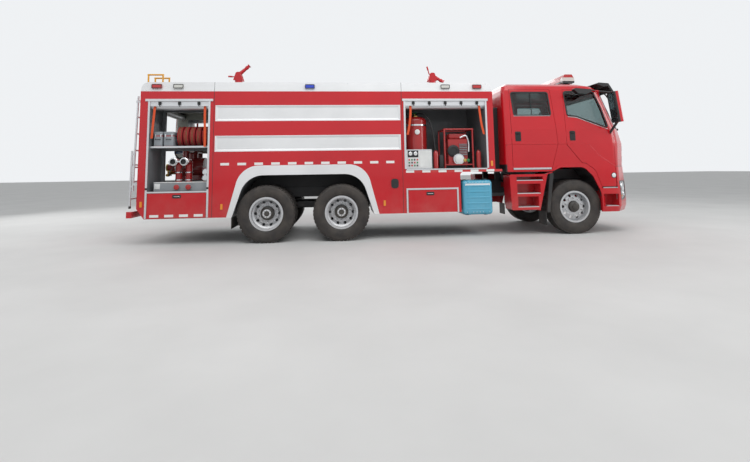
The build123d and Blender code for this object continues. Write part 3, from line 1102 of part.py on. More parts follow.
# Raised pressing of the front door over the wheel arch, under the crease line
PRESS_PROUD = 6.0
ARCH_PRESS = [(-150.0, 1746.0, 0), (300.0, 1734.0, 120), (542.0, 1479.0, 240), (770.0, 1318.0, 120),
              (850.0, 1296.0, 0), (850.0, 880.0, 0), (-150.0, 880.0, 0)]
press = (form(CAB_SECTIONS, -PRESS_PROUD, -10, -10) - form(CAB_SECTIONS, 4, -20, -20)) & side_prism(
    placed(ARCH_PRESS), -HALF_WIDTH, -DOOR_DEPTH_Y) & front_door_body
front = fuse((cab_outer & front_door_body) - cab_inner - front_window, press, latch(FRONT_DOOR))
rear = fuse((cab_outer & rear_door_body) - cab_inner - rear_window, latch(REAR_DOOR))
for side, sign in SIDES:
    save(f"door_rear_{side}", on_side(rear, sign))
    save(f"glass_front_{side}", on_side(glass_skin & front_window, sign))
    save(f"glass_rear_{side}", on_side(glass_skin & rear_window, sign))

# Bumper with headlamps, lower grille and the steps in its ends
BUMPER_SECTIONS = (
    (420.0, 1225.0, 470.0, 850.0, 1300.0, 780.0),
    (520.0, 1245.0, 470.0, 875.0, 1335.0, 790.0),
    (600.0, 1247.0, 470.0, 880.0, 1340.0, 790.0),
    (900.0, 1247.0, 470.0, 880.0, 1335.0, 790.0),
    (1290.0, 1243.0, 470.0, 862.0, 1275.0, 845.0),
)
BUMPER_WALL = 70.0
BUMPER_TOP_Z = 1040.0
STEP_BACK_Y = 990.0
TYRE_SWEEP = 590.0
bumper_outer = form(BUMPER_SECTIONS, 0, 0, 0)
bumper_inner = form(BUMPER_SECTIONS, BUMPER_WALL, -10, -10)
bumper = bumper_outer - bumper_inner
bumper = bumper - block(ax(400), ax(847), -1400, 1400, BUMPER_SIDE_TOP, 1400)
bumper = bumper - block(ax(400), FRONT_X + 50, -912, 912, BUMPER_TOP_Z, 1400)
bumper = bumper - block(ax(400), ax(560), -900, 900, 300, 1400)
STEP_BOX_PLAN = [(BUMPER_END, -1400.0, 0), (BUMPER_END, -1190.0, 0), (TYRE_SWEEP, -1165.0, 0),
                 (TYRE_SWEEP, -STEP_BACK_Y, 0), (880.0, -STEP_BACK_Y, 0), (880.0, -1400.0, 0)]
POCKET_PLAN = [(BUMPER_END + 28, -1400.0, 0), (BUMPER_END + 28, -1228.0, 0), (TYRE_SWEEP + 16, -1185.0, 0),
               (TYRE_SWEEP + 16, -STEP_BACK_Y - 20, 0), (862.0, -STEP_BACK_Y - 20, 0), (862.0, -1400.0, 0)]
step_box = plan_prism(placed(STEP_BOX_PLAN), 426, BUMPER_SIDE_TOP) & bumper_outer
step_pocket = plan_prism(placed(POCKET_PLAN), 523, 761)
bumper_inside = plan_prism([(ax(400), -1190, 0), (ax(BUMPER_END), -1190, 0), (ax(TYRE_SWEEP), -1165, 0),
                            (ax(TYRE_SWEEP), 1165, 0), (ax(BUMPER_END), 1190, 0), (ax(400), 1190, 0)], 300, 1400)
bumper_inside = bumper_inside + block(ax(400), ax(BUMPER_END), -1400, 1400, 300, 1400)
bumper = bumper - bumper_inside
bumper = fuse(bumper, *both(step_box))
bumper = bumper - both(step_pocket)
HEADLAMP = [(-912.0, 1010.0, 20), (-912.0, 700.0, 20), (-1020.0, 640.0, 20), (-1180.0, 640.0, 20),
            (-1212.0, 1010.0, 20)]
lamp_cut = front_prism(HEADLAMP, ax(860), FRONT_X + 50)
LOWER_GRILLE = [(-789.0, BUMPER_TOP_Z, 0), (-678.0, 813.0, 20), (678.0, 813.0, 20), (789.0, BUMPER_TOP_Z, 0)]
lower_grille_cut = front_prism(LOWER_GRILLE, ax(1100), FRONT_X + 50)
lamp_ring = form(BUMPER_SECTIONS, 4, 0, 0) - form(BUMPER_SECTIONS, BUMPER_WALL - 10, -10, -10)
bumper = bumper - both(lamp_cut & (bumper_outer - form(BUMPER_SECTIONS, BUMPER_WALL - 10, -10, -10)))
BUMPER_SLOT = [(-740.0, 738.0, 20), (-704.0, 654.0, 20), (-356.0, 654.0, 20), (-320.0, 738.0, 20)]
SLOT_FLOOR = 1290.0
PLATE_RECESS = (-190.0, 190.0, 645.0, 720.0)
bumper = bumper - lower_grille_cut - both(front_prism(BUMPER_SLOT, ax(SLOT_FLOOR), FRONT_X + 50))
bumper = bumper - block(ax(1329), FRONT_X + 50, *PLATE_RECESS)
save("bumper", bumper)
headlamp = (lamp_ring & lamp_cut)
lamps.append(headlamp)
save("lamps", *lamps, *[flip(lamp) for lamp in lamps])
BUMPER_TREAD = 12.0
low_tread = block(ax(TYRE_SWEEP + 20), ax(855), -SIDE_Y + 12, -STEP_BACK_Y - 25, 523, 523 + BUMPER_TREAD)
high_tread = block(ax(TYRE_SWEEP + 4), ax(823), -SIDE_Y + 12, -STEP_BACK_Y - 25, BUMPER_SIDE_TOP,
                   BUMPER_SIDE_TOP + BUMPER_TREAD)

# Grilles: black slats in the cab's front panel and in the bumper
grille_back = form(BUMPER_SECTIONS, 40, -10, -10) - form(BUMPER_SECTIONS, BUMPER_WALL, -10, -10)
lower_grille = grille_back & lower_grille_cut
grille_band = form(BUMPER_SECTIONS, 12, -10, -10) - form(BUMPER_SECTIONS, 45, -10, -10)
for z in (860.0, 920.0, 980.0):
    slat = block(ax(1000), FRONT_X + 50, -900, 900, z, z + 22)
    lower_grille = lower_grille + (grille_band & lower_grille_cut & slat)
panel_back = form(CAB_SECTIONS, 42, -10, -10) - form(CAB_SECTIONS, CAB_WALL, -10, -10)
panel_band = form(CAB_SECTIONS, 14, -10, -10) - form(CAB_SECTIONS, 44, -10, -10)
SLATS = 3
SLAT_HEIGHT = 14.0
slot_grilles = []
for cut, (top_half, low_half, top, low) in zip(slot_cuts, PANEL_SLOTS):
    slatted = panel_back & cut
    for k in range(SLATS):
        z = low + (top - low) * (k + 1) / (SLATS + 1)
        slat = block(ax(1000), FRONT_X + 50, -top_half, top_half, z - SLAT_HEIGHT / 2, z + SLAT_HEIGHT / 2)
        slatted = slatted + (panel_band & cut & slat)
    slot_grilles.append(slatted)

# Intake stack on the cab's rear wall, seen in the gap before the body
STACK_DEPTH = 120.0
STACK_Y = (-900.0, -700.0)
STACK_LOW = 1260.0
STACK_TOP = 2520.0
stack = block(CAB_REAR_X - STACK_DEPTH - SEAT, CAB_REAR_X - SEAT, *STACK_Y, STACK_LOW, STACK_TOP)
stack = fillet(stack.edges().filter_by(Axis.Y).sort_by(Axis.X)[0:2].sort_by(Axis.Z)[-1], 90)
stack = fillet(stack.edges().filter_by(Axis.Z).sort_by(Axis.X)[0:2], 30)
strip = (form(CAB_SECTIONS, 12, -10, -10) - form(CAB_SECTIONS, CAB_WALL, -10, -10)) & block(
    ax(832), FRONT_X + 50, -STRIP_HALF + SEAT, STRIP_HALF - SEAT, 1057, STRIP_TOP_Z - SEAT)
save("grilles", lower_grille, *slot_grilles, strip, stack)

# Side steps under the rear doors
STEP_BOX = [(-1327.0, 1165.0, 30), (-577.0, 1165.0, 30), (-754.0, 488.0, 20), (-1300.0, 488.0, 20)]
# columns: height of the recess's floor, its rear and front from the axle, height of its top
SIDE_TREADS = (
    (1043.0, -1189.0, -664.0, 1120.0),
    (794.0, -1184.0, -720.0, 985.0),
    (538.0, -1178.0, -765.0, 740.0),
)
STEP_HANGERS = ((-1200.0, -1100.0), (-850.0, -780.0))
side_step = side_prism(placed(STEP_BOX), -SIDE_Y, -900)
treads = []
for z, x0, x1, top in SIDE_TREADS:
    side_step = side_step - block(ax(x0), ax(x1), -SIDE_Y - 10, -960, z, top)
    treads.append(block(ax(x0) + SEAT, ax(x1) - SEAT, -SIDE_Y + 2, -965, z, z + 14))
for x0, x1 in STEP_HANGERS:
    side_step = fuse(side_step, block(ax(x0), ax(x1), -901, -RAIL_OUTER_Y, 900, 1000))
save("step_treads", tread, *both(low_tread), *both(high_tread), *[piece for t in treads for piece in both(t)])

# Front mudguards behind the front wheels
MUDGUARD = [(-455.0, 1190.0, 0), (-560.0, 1165.0, 40), (-740.0, 474.0, 0), (-762.0, 474.0, 0),
            (-584.0, 1180.0, 40), (-470.0, 1205.0, 0)]
mudguard = side_prism(placed(MUDGUARD), -SIDE_Y + 10, -720)
save("side_steps", *both(fuse(side_step, mudguard)))

# Seats and dashboard
seats = []
seat_low = seat_base_z + SEAT_BASE_HEIGHT + SEAT
for y in (-620.0, 620.0):
    cushion = fillet(block(ax(-50 + SEAT), ax(460), y - 250, y + 250, seat_low, seat_base_z + 420).edges(), 30)
    back = fillet(block(ax(-180), ax(-50), y - 240, y + 240, seat_low, seat_base_z + 1120).edges(), 30)
    seats += [cushion, back]
bench = fillet(block(ax(-1240 + SEAT), ax(-780), -1080, 1080, seat_low, seat_base_z + 420).edges(), 30)
bench_back = fillet(block(ax(-1305), ax(-1240), -1080, 1080, seat_low, seat_base_z + 1050).edges(), 22)
save("seats", *seats, bench, bench_back)
dash = side_prism([(ax(1300), seat_base_z + 100, 0), (ax(860), seat_base_z + 100, 40), (ax(800), 1960, 60),
                   (ax(860), 2030, 60), (ax(1300), 2030, 0)], -1150, 1150)
dash = dash & form(CAB_SECTIONS, CAB_WALL + SEAT, -10, CAB_WALL + SEAT)
WHEEL_Y = 620.0
WHEEL_Z = 2010.0
WHEEL_RADIUS = 220.0
wheel_place = Pos(ax(700), WHEEL_Y, WHEEL_Z) * Rot(0, -35, 0)
steering = fuse(wheel_place * Torus(WHEEL_RADIUS, 16), wheel_place * Box(2 * WHEEL_RADIUS, 36, 20),
                tube((ax(700), WHEEL_Y, WHEEL_Z), (ax(880), WHEEL_Y, 1770), 30))
save("dashboard", fuse(dash, steering))

# Sun visor over the windscreen and the light bar on the roof
VISOR = [(640.0, ROOF_Z, 0), (700.0, 3000.0, 20), (905.0, 2985.0, 20), (1010.0, 2815.0, 10), (980.0, 2800.0, 10),
         (885.0, 2930.0, 20), (800.0, 2915.0, 0)]
visor = Pos(SEAT, 0, SEAT) * side_prism(placed(VISOR), -1090, 1090)
save("sun_visor", visor)
LIGHT_BAR_X = 300.0
LIGHT_BAR_HALF = 660.0
LIGHT_BAR = [(-130.0, 3075.0), (130.0, 3075.0), (130.0, 3175.0), (80.0, 3262.0), (-80.0, 3262.0),
             (-130.0, 3175.0)]
light_bar = side_prism(round_all([(ax(LIGHT_BAR_X + u), v) for u, v in LIGHT_BAR], 18), -LIGHT_BAR_HALF,
                       LIGHT_BAR_HALF)
feet = both(block(ax(LIGHT_BAR_X - 60), ax(LIGHT_BAR_X + 60), -550, -490, ROOF_Z, 3076))
save("light_bar", fuse(light_bar, *feet))

# Mirrors on the front doors
# columns: start, end of each arm (distance from the axle, y, height), radius
MIRROR_ARMS = (
    ((735.0, -1450.0, 2725.0), (560.0, -1195.0, 2800.0), 20.0),
    ((560.0, -1195.0, 2800.0), (540.0, -1150.0, 2810.0), 20.0),
    ((800.0, -1450.0, 2160.0), (770.0, -1275.0, 1990.0), 24.0),
    ((770.0, -1275.0, 1990.0), (765.0, -1235.0, 1950.0), 24.0),
)
KERB_ARMS = (
    ((250.0, -1370.0, 2780.0), (330.0, -1370.0, 2800.0), 14.0),
    ((330.0, -1370.0, 2800.0), (560.0, -1195.0, 2800.0), 14.0),
)


def arm(start, end, radius):
    """Tube of a mirror's arm."""
    return tube((ax(start[0]), *start[1:]), (ax(end[0]), *end[1:]), radius)


mirror_body = block(-45, 65, -1560, -1345, -300, 300)
mirror_body = fillet(mirror_body.edges().filter_by(Axis.Z), 30)
arms = fuse(Pos(ax(765), 0, 2440) * Rot(0, -7, 0) * mirror_body, *[arm(*row) for row in MIRROR_ARMS])
# Kerb mirror over the right front window, hung from the upper arm
KERB_MIRROR = [(-34.0, 2800.0, 20), (0.0, 2822.0, 20), (300.0, 2800.0, 20), (338.0, 2760.0, 20),
               (250.0, 2709.0, 30), (60.0, 2716.0, 30)]
kerb_mirror = fuse(side_prism(placed(KERB_MIRROR), -1420, -1320), *[arm(*row) for row in KERB_ARMS])
for side, sign in SIDES:
    outside = fuse(arms, kerb_mirror) if side == "right" else arms
    save(f"door_front_{side}", on_side(fuse(front, outside - cab_inner), sign))

print(len(made), "nodes;", f"length {LENGTH:.0f}")
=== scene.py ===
import math

import bpy
import bmesh
from mathutils import Matrix, Vector
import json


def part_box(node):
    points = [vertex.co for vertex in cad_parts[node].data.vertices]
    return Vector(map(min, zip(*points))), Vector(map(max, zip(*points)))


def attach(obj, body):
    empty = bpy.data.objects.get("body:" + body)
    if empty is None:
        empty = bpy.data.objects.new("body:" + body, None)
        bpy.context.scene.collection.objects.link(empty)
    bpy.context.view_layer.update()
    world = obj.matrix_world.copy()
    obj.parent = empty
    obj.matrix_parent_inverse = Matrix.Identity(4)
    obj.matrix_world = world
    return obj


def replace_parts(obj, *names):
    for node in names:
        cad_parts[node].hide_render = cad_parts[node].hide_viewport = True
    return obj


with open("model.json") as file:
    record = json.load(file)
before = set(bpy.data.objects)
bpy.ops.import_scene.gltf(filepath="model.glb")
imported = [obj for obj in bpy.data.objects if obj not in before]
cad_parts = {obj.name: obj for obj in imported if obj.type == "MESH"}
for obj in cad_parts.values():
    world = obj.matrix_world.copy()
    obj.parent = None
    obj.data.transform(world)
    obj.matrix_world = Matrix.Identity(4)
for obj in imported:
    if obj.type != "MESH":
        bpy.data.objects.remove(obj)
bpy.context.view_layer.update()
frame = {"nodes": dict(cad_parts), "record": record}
nodes = frame["nodes"]
scene = bpy.context.scene

# Places that the rest is measured from, in metres, read from the frame
front_wheel_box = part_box("tyre_front_right")
FRONT_AXLE = (front_wheel_box[0].x + front_wheel_box[1].x) / 2
AXLE_HEIGHT = (front_wheel_box[0].z + front_wheel_box[1].z) / 2
SIDES = (("right", -1), ("left", 1))


def from_axle(distance):
    """X of a place measured from the front axle."""
    return FRONT_AXLE + distance


def shader_math(operation, swapped=False):
    """Operator of Field that makes one Math node; swapped puts the field second."""
    def operator(self, *values):
        return self.math(operation, *((*values, self) if swapped else (self, *values)))
    return operator


class Field:
    """A value that varies over a surface: one output of a finish's nodes."""

    def __init__(self, finish, socket):
        self.finish = finish
        self.socket = socket

    def math(self, operation, *values):
        return self.finish.node("ShaderNodeMath", {"operation": operation}, dict(enumerate(values)))

    __add__ = shader_math("ADD")
    __radd__ = shader_math("ADD", swapped=True)
    __sub__ = shader_math("SUBTRACT")
    __rsub__ = shader_math("SUBTRACT", swapped=True)
    __mul__ = shader_math("MULTIPLY")
    __rmul__ = shader_math("MULTIPLY", swapped=True)
    __gt__ = shader_math("GREATER_THAN")
    __lt__ = shader_math("LESS_THAN")
    __abs__ = shader_math("ABSOLUTE")
    sine = shader_math("SINE")

    def within(self, start, end):
        """1 between two numbers, 0 outside them."""
        return (self > start) * (self < end)

    def ramp(self, start, end):
        """0 below start, 1 above end, straight between."""
        return self.finish.node("ShaderNodeMapRange", {"clamp": True},
                                {"Value": self, "From Min": start, "From Max": end})


def scaled(colour, share):
    """The colour, darker or brighter."""
    return tuple(share * c for c in colour)


class Finish:
    """One material and the nodes that make it."""

    def __init__(self, name):
        self.material = bpy.data.materials.new(name)
        self.material.use_nodes = True
        self.tree = self.material.node_tree
        self.shader = self.tree.nodes["Principled BSDF"]
        coordinates = self.tree.nodes.new("ShaderNodeTexCoord")
        self.place = Field(self, coordinates.outputs["Object"])
        parts = self.tree.nodes.new("ShaderNodeSeparateXYZ")
        self.tree.links.new(self.place.socket, parts.inputs[0])
        self.x, self.y, self.z = (Field(self, output) for output in parts.outputs)

    def node(self, kind, settings, sockets, output=0):
        """A node of that kind: settings first, then the values or links of its sockets."""
        made = self.tree.nodes.new(kind)
        for name, value in settings.items():
            if name == "stops":
                ramp = made.color_ramp
                while len(ramp.elements) < len(value):
                    ramp.elements.new(0.5)
                for element, (position, colour) in zip(ramp.elements, value):
                    element.position = position
                    element.color = (*colour, 1.0)
            else:
                setattr(made, name, value)
        for key, value in sockets.items():
            if isinstance(value, Field):
                self.tree.links.new(value.socket, made.inputs[key])
            else:
                made.inputs[key].default_value = value
        return Field(self, made.outputs[output])

    def noise(self, scale, detail=4.0, place=None, rough=0.55):
        """Noise from 0 to 1 over the object's own coordinates."""
        return self.node("ShaderNodeTexNoise", {}, {"Vector": place or self.place, "Scale": scale,
                                                    "Detail": detail, "Roughness": rough})

    def stretched(self, x, y, z):
        """The object's coordinates, scaled by axis."""
        return self.node("ShaderNodeVectorMath", {"operation": "MULTIPLY"}, {0: self.place, 1: (x, y, z)})

    def colour(self, value):
        """A colour as something that mix can link or set."""
        return value if isinstance(value, Field) else (*value, 1.0)

    def mix(self, factor, first, second):
        """Colour that goes from first to second as factor goes from 0 to 1."""
        return self.node("ShaderNodeMix", {"data_type": "RGBA"},
                         {0: factor, 6: self.colour(first), 7: self.colour(second)}, output=2)

    def patches(self, colour, share, scale, detail, start=0.3, end=0.7):
        """The colour with soft patches of it scaled by share."""
        return self.mix(self.noise(scale, detail).ramp(start, end), colour, scaled(colour, share))

    def set(self, **sockets):
        """Set the shader's sockets by name, with _ for a space."""
        for name, value in sockets.items():
            socket = self.shader.inputs[name.replace("_", " ")]
            if isinstance(value, Field):
                self.tree.links.new(value.socket, socket)
            else:
                socket.default_value = (*value, 1.0) if isinstance(value, tuple) else value
        return self

    def bump(self, height, distance, strength=1.0):
        """Raise the surface by a height field."""
        raised = self.node("ShaderNodeBump", {}, {"Height": height, "Distance": distance,
                                                  "Strength": strength})
        return self.set(Normal=raised)


DUST = (0.46, 0.40, 0.33)


def dusty(finish, colour, top, strength):
    """A colour with road dust on it, most near the ground and none above top."""
    amount = (1.0 - finish.z.ramp(0.2, top)) * finish.noise(3.0, 6.0).ramp(0.35, 0.8) * strength
    return finish.mix(amount, colour, DUST)


RED = (0.56, 0.006, 0.014)
WHITE = (0.80, 0.81, 0.82)
LOCKER_GREY = (0.17, 0.18, 0.19)
PUMP_ROOM_GREY = (0.33, 0.35, 0.31)
STEEL_GREY = (0.30, 0.32, 0.34)
BLACK = (0.012, 0.012, 0.013)


def gloss_paint(name, colour, *areas):
    """Gloss vehicle paint; each area is (mask function, colour) of a satin surface on the same node."""
    finish = Finish(name)
    shade = dusty(finish, finish.patches(colour, 0.90, 1.3, 3.0), 1.1, 0.22)
    rough = finish.noise(9.0, 3.0).ramp(0.3, 0.8) * 0.06 + 0.16
    for place, other in areas:
        mask = place(finish)
        shade = finish.mix(mask, shade, finish.patches(other, 0.72, 2.0, 5.0, 0.35, 0.75))
        rough = rough + mask * 0.3
    finish.set(Base_Color=shade, Roughness=rough, Coat_Weight=0.25, Coat_Roughness=0.05)
    return finish.bump(finish.noise(220.0, 2.0), 0.00012, 0.35).material


def satin_metal(name, colour, rough=0.34, brush=(2.0, 2.0, 160.0), metallic=0.85, areas=()):
    """Brushed aluminium or steel; each area is (mask function, colour) of a painted part."""
    finish = Finish(name)
    grain = finish.noise(3.0, 4.0, finish.stretched(*brush))
    shade = finish.mix(grain.ramp(0.3, 0.7), colour, scaled(colour, 0.82))
    for place, other in areas:
        mask = place(finish)
        shade = finish.mix(mask, shade, other)
        metallic = metallic * (1.0 - mask)
    finish.set(Base_Color=dusty(finish, shade, 1.0, 0.25), Metallic=metallic,
               Roughness=grain.ramp(0.2, 0.8) * 0.12 + rough)
    return finish.bump(grain, 0.0002, 0.4).material


def matt_plastic(name, colour, rough=0.55):
    """Grained plastic or rubber."""
    finish = Finish(name)
    grain = finish.noise(260.0, 2.0)
    shade = finish.mix(finish.noise(4.0, 4.0).ramp(0.3, 0.8), colour, tuple(1.35 * c + 0.004 for c in colour))
    finish.set(Base_Color=dusty(finish, shade, 1.0, 0.18), Roughness=grain.ramp(0.2, 0.9) * 0.12 + rough)
    return finish.bump(grain, 0.0003, 0.35).material


def tyre_rubber(name):
    """Tyre rubber, browner in patches of dust."""
    finish = Finish(name)
    grain = finish.noise(90.0, 3.0)
    shade = finish.mix(finish.noise(5.0, 5.0).ramp(0.35, 0.75), (0.022, 0.019, 0.018), (0.060, 0.050, 0.042))
    finish.set(Base_Color=shade, Roughness=grain.ramp(0.2, 0.9) * 0.14 + 0.62)
    return finish.bump(grain, 0.0006, 0.35).material


def window_glass(name, tint=(0.42, 0.50, 0.50)):
    """Tinted vehicle glass."""
    finish = Finish(name)
    film = finish.noise(2.0, 4.0).ramp(0.3, 0.8)
    finish.set(Base_Color=tint, Roughness=film * 0.02 + 0.01, Transmission_Weight=1.0, IOR=1.45)
    return finish.material


def lens(name, colour, glow=0.0):
    """Moulded lamp lens with fine ribs."""
    finish = Finish(name)
    ribs = (finish.x * 900.0).sine() * 0.5 + 0.5
    shade = finish.mix(ribs * 0.35, colour, scaled(colour, 0.6))
    finish.set(Base_Color=shade, Roughness=0.12, Coat_Weight=0.7)
    finish.bump(ribs, 0.0004, 0.4)
    if glow:
        finish.set(Emission_Color=colour, Emission_Strength=glow)
    return finish.material


def woven(name, colour, scale=700.0):
    """Woven fabric or webbing."""
    finish = Finish(name)
    weave = ((finish.x * scale).sine() * (finish.z * scale).sine()) * 0.5 + 0.5
    shade = finish.mix(weave * 0.5, colour, scaled(colour, 0.55))
    finish.set(Base_Color=shade, Roughness=0.85)
    return finish.bump(weave, 0.0006, 0.5).material


def body_inside(finish):
    """Surfaces of the locker body that lie within its outer skin."""
    low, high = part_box("body_rear")
    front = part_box("body_front")[1].x
    return (finish.y.within(low.y + SKIN, high.y - SKIN) * finish.x.within(low.x + SKIN, front - SKIN)
            * finish.z.within(low.z - 0.1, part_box("body_middle")[1].z - SKIN))


def body_seams(finish):
    """Joints between the body's three sections."""
    low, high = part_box("body_middle")
    return (abs(finish.x - low.x) < SEAM_HALF) + (abs(finish.x - high.x) < SEAM_HALF)


def pump_walls(finish):
    """Walls of the pump room."""
    return ((abs(finish.y) < 0.603) * finish.z.within(1.105, 2.70)
            * finish.x.within(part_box("body_rear")[0].x + SKIN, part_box("body_middle")[0].x - 0.02))


def coaming_ends(finish):
    """Rear ends of the coamings."""
    return (finish.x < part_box("body_rear")[0].x + 0.004) * (finish.z > 2.7)


def sill_box(finish):
    """Steel box and shelf that carry the hoses."""
    return (finish.z < 1.114) + finish.z.within(1.740, 1.7775)


def mirror_parts(finish):
    """The front door's mirror arms and the mirrors' own faces; the big mirror's back stays red."""
    out = abs(finish.y)
    back = (finish.x + finish.z * MIRROR_SLOPE > from_axle(MIRROR_SPLIT)) * out.within(1.340, 1.570)
    return (out > MIRRORS_FROM) * (1.0 - back * finish.z.within(2.13, 2.75))


def painted_shade_under_cab(finish):
    """Painted shade: the cab's arches, sills, floor and the low part of its rear wall, black as seen from
    below.
    """
    return (abs(finish.y) < 1.226) * (finish.z < 1.36) * (finish.x < from_axle(0.80))


def hub_faces(finish):
    """Hub caps of the three axles."""
    mask = 0.0
    for x, radius in ((FRONT_AXLE, 0.112), (REAR_AXLES[0], 0.132), (REAR_AXLES[1], 0.132)):
        across, up = finish.x - x, finish.z - AXLE_HEIGHT
        mask = mask + ((across * across + up * up) < radius * radius)
    return mask


def lamp_lens():
    """Lenses by their place: red, white and blue along the coamings, clear at the front."""
    finish = Finish("lamp_lens")
    ribs = (finish.x * 900.0).sine() * 0.5 + 0.5
    colour = LAMP_RED
    for distance, other in ((-7.519, LAMP_WHITE), (-2.535, LAMP_WHITE), (-5.129, LAMP_BLUE)):
        mask = (abs(finish.x - from_axle(distance)) < 0.15) * (finish.z > 2.8)
        colour = finish.mix(mask, colour, other)
    colour = finish.mix(finish.x > from_axle(0.5), colour, LAMP_CHROME)
    finish.set(Base_Color=colour, Roughness=ribs * 0.05 + 0.10, Coat_Weight=0.7)
    return finish.bump(ribs, 0.0004, 0.4).material


def light_bar_lens():
    """Black base, red dome and clear ends."""
    finish = Finish("light_bar")
    ribs = (finish.y * 300.0).sine() * 0.5 + 0.5
    colour = finish.mix(ribs * 0.4, LAMP_RED, scaled(LAMP_RED, 0.6))
    colour = finish.mix((abs(finish.y) > 0.56) * (finish.z < 3.195), colour, LAMP_WHITE)
    colour = finish.mix(finish.z < 3.115, colour, BLACK)
    finish.set(Base_Color=colour, Roughness=ribs * 0.05 + 0.12, Coat_Weight=0.7)
    return finish.bump(ribs, 0.0004, 0.4).material


# Places where one node carries two finishes
SKIN = 0.003
SEAM_HALF = 0.004
MIRRORS_FROM = 1.256
MIRROR_SLOPE = 0.1228
MIRROR_SPLIT = 1.058
REAR_AXLES = [sum(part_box(f"tyres_rear_{n}_right")[k].x for k in (0, 1)) / 2 for n in (1, 2)]
LAMP_RED = (0.50, 0.015, 0.015)
LAMP_WHITE = (0.62, 0.62, 0.58)
LAMP_BLUE = (0.01, 0.05, 0.55)
LAMP_CHROME = (0.26, 0.27, 0.28)
HANDRAIL_YELLOW = (0.72, 0.34, 0.02)

PAINT = gloss_paint("red_paint", RED)
BODY_PAINT = gloss_paint("body_paint", RED, (body_inside, LOCKER_GREY), (pump_walls, PUMP_ROOM_GREY),
                         (body_seams, BLACK))
HOSE_GEAR = gloss_paint("hose_gear_paint", (0.40, 0.02, 0.02), (sill_box, STEEL_GREY))
DOOR_PAINT = gloss_paint("door_paint", RED, (mirror_parts, BLACK))
# The cab's red paint carries painted shade: black under the cab and low on its rear wall.
CAB_PAINT = gloss_paint("cab_paint", RED, (painted_shade_under_cab, BLACK))
WHITE_PAINT = gloss_paint("white_paint", WHITE, (body_seams, LOCKER_GREY), (coaming_ends, RED))
TANK_BLUE = gloss_paint("tank_blue", (0.10, 0.42, 0.60))
TRIM = satin_metal("satin_trim", (0.74, 0.75, 0.77))
LADDER = satin_metal("ladder_metal", (0.70, 0.71, 0.73), 0.36, areas=(
    (lambda finish: finish.z > 2.80, HANDRAIL_YELLOW), (lambda finish: finish.z < 0.70, BLACK)))
CHASSIS = matt_plastic("chassis_black", (0.025, 0.025, 0.027), 0.5)
PLASTIC = matt_plastic("black_plastic", BLACK)
ENGINE = matt_plastic("engine_grey", (0.16, 0.17, 0.18), 0.5)
RUBBER = tyre_rubber("tyre_rubber")
WHEEL = satin_metal("wheel_silver", (0.58, 0.59, 0.61), 0.42, (60.0, 60.0, 60.0), 0.55, ((hub_faces, BLACK),))
GLASS = window_glass("tinted_glass")
LENS = lamp_lens()
LIGHT_BAR = light_bar_lens()
SEAT = woven("seat_fabric", (0.10, 0.10, 0.11))
PUMP = gloss_paint("pump_paint", (0.30, 0.03, 0.03))
EQUIPMENT = gloss_paint("equipment_red", (0.40, 0.02, 0.02))
PANEL = gloss_paint("panel_white", (0.74, 0.74, 0.73))

SLOT_FINISH = {
    "red_paint": PAINT, "white_paint": WHITE_PAINT, "blue_tank": TANK_BLUE, "silver_trim": TRIM,
    "chassis_black": CHASSIS, "engine_grey": ENGINE, "tyre_rubber": RUBBER, "wheel_silver": WHEEL,
    "window_glass": GLASS, "black_plastic": PLASTIC, "lamp_lens": LENS, "seat_fabric": SEAT,
    "pump_steel": PUMP, "equipment_red": EQUIPMENT, "panel_white": PANEL,
}
SLOT_OF = {row["node"]: row["material_slot"] for row in frame["record"]["subparts"]}
NODE_FINISH = {"body_rear": BODY_PAINT, "body_middle": BODY_PAINT, "body_front": BODY_PAINT,
               "door_front_left": DOOR_PAINT, "door_front_right": DOOR_PAINT, "cab_shell": CAB_PAINT,
               "ladder": LADDER, "light_bar": LIGHT_BAR, "hose_gear": HOSE_GEAR}


def dress(name, node):
    """Give a CAD node its finish."""
    finish = NODE_FINISH.get(name) or SLOT_FINISH[SLOT_OF[name]]
    if not node.material_slots:
        node.data.materials.append(finish)
    for place in node.material_slots:
        place.material = finish


for name, node in nodes.items():
    dress(name, node)

# Forms are (points, faces); a piece collects forms, each placed by a matrix or a function


def take(form):
    """A bmesh as points and faces."""
    form.verts.index_update()
    points = [vert.co.copy() for vert in form.verts]
    faces = [tuple(vert.index for vert in face.verts) for face in form.faces]
    form.free()
    return points, faces


def rows(size, total):
    """Numbers of total points, in rows of one size."""
    return [range(first, first + size) for first in range(0, total, size)]


def joined(rings, closed=False, round_too=True):
    """Faces between rings of point numbers; a ring of one point closes the form."""
    faces = []
    for low, high in zip(rings, rings[1:] + rings[:1] if closed else rings[1:]):
        count = max(len(low), len(high))
        for k in range(count if round_too and count > 1 else count - 1):
            following = (k + 1) % count
            if len(low) == 1:
                faces.append((low[0], high[following], high[k]))
            elif len(high) == 1:
                faces.append((low[k], low[following], high[0]))
            else:
                faces.append((low[k], low[following], high[following], high[k]))
    return faces


def slab(low, high, edge=0.004, segments=2):
    """Box between two corners, its edges rounded."""
    form = bmesh.new()
    bmesh.ops.create_cube(form, size=1.0)
    span = [abs(b - a) for a, b in zip(low, high)]
    middle = [(a + b) / 2 for a, b in zip(low, high)]
    for vert in form.verts:
        vert.co = Vector([c * s + m for c, s, m in zip(vert.co, span, middle)])
    bmesh.ops.bevel(form, geom=form.edges[:], offset=min(edge, 0.4 * min(span)), segments=segments,
                    profile=0.5, affect="EDGES")
    return take(form)


def turned(profile, steps=32, closed=False):
    """Turn (radius, height) points about local Z; a radius of 0 closes the form."""
    points, rings = [], []
    for radius, height in profile:
        count = steps if radius > 1e-6 else 1
        rings.append([len(points) + k for k in range(count)])
        for k in range(count):
            angle = 2 * math.pi * k / steps
            points.append(Vector((radius * math.cos(angle), radius * math.sin(angle), height)))
    return points, joined(rings, closed)


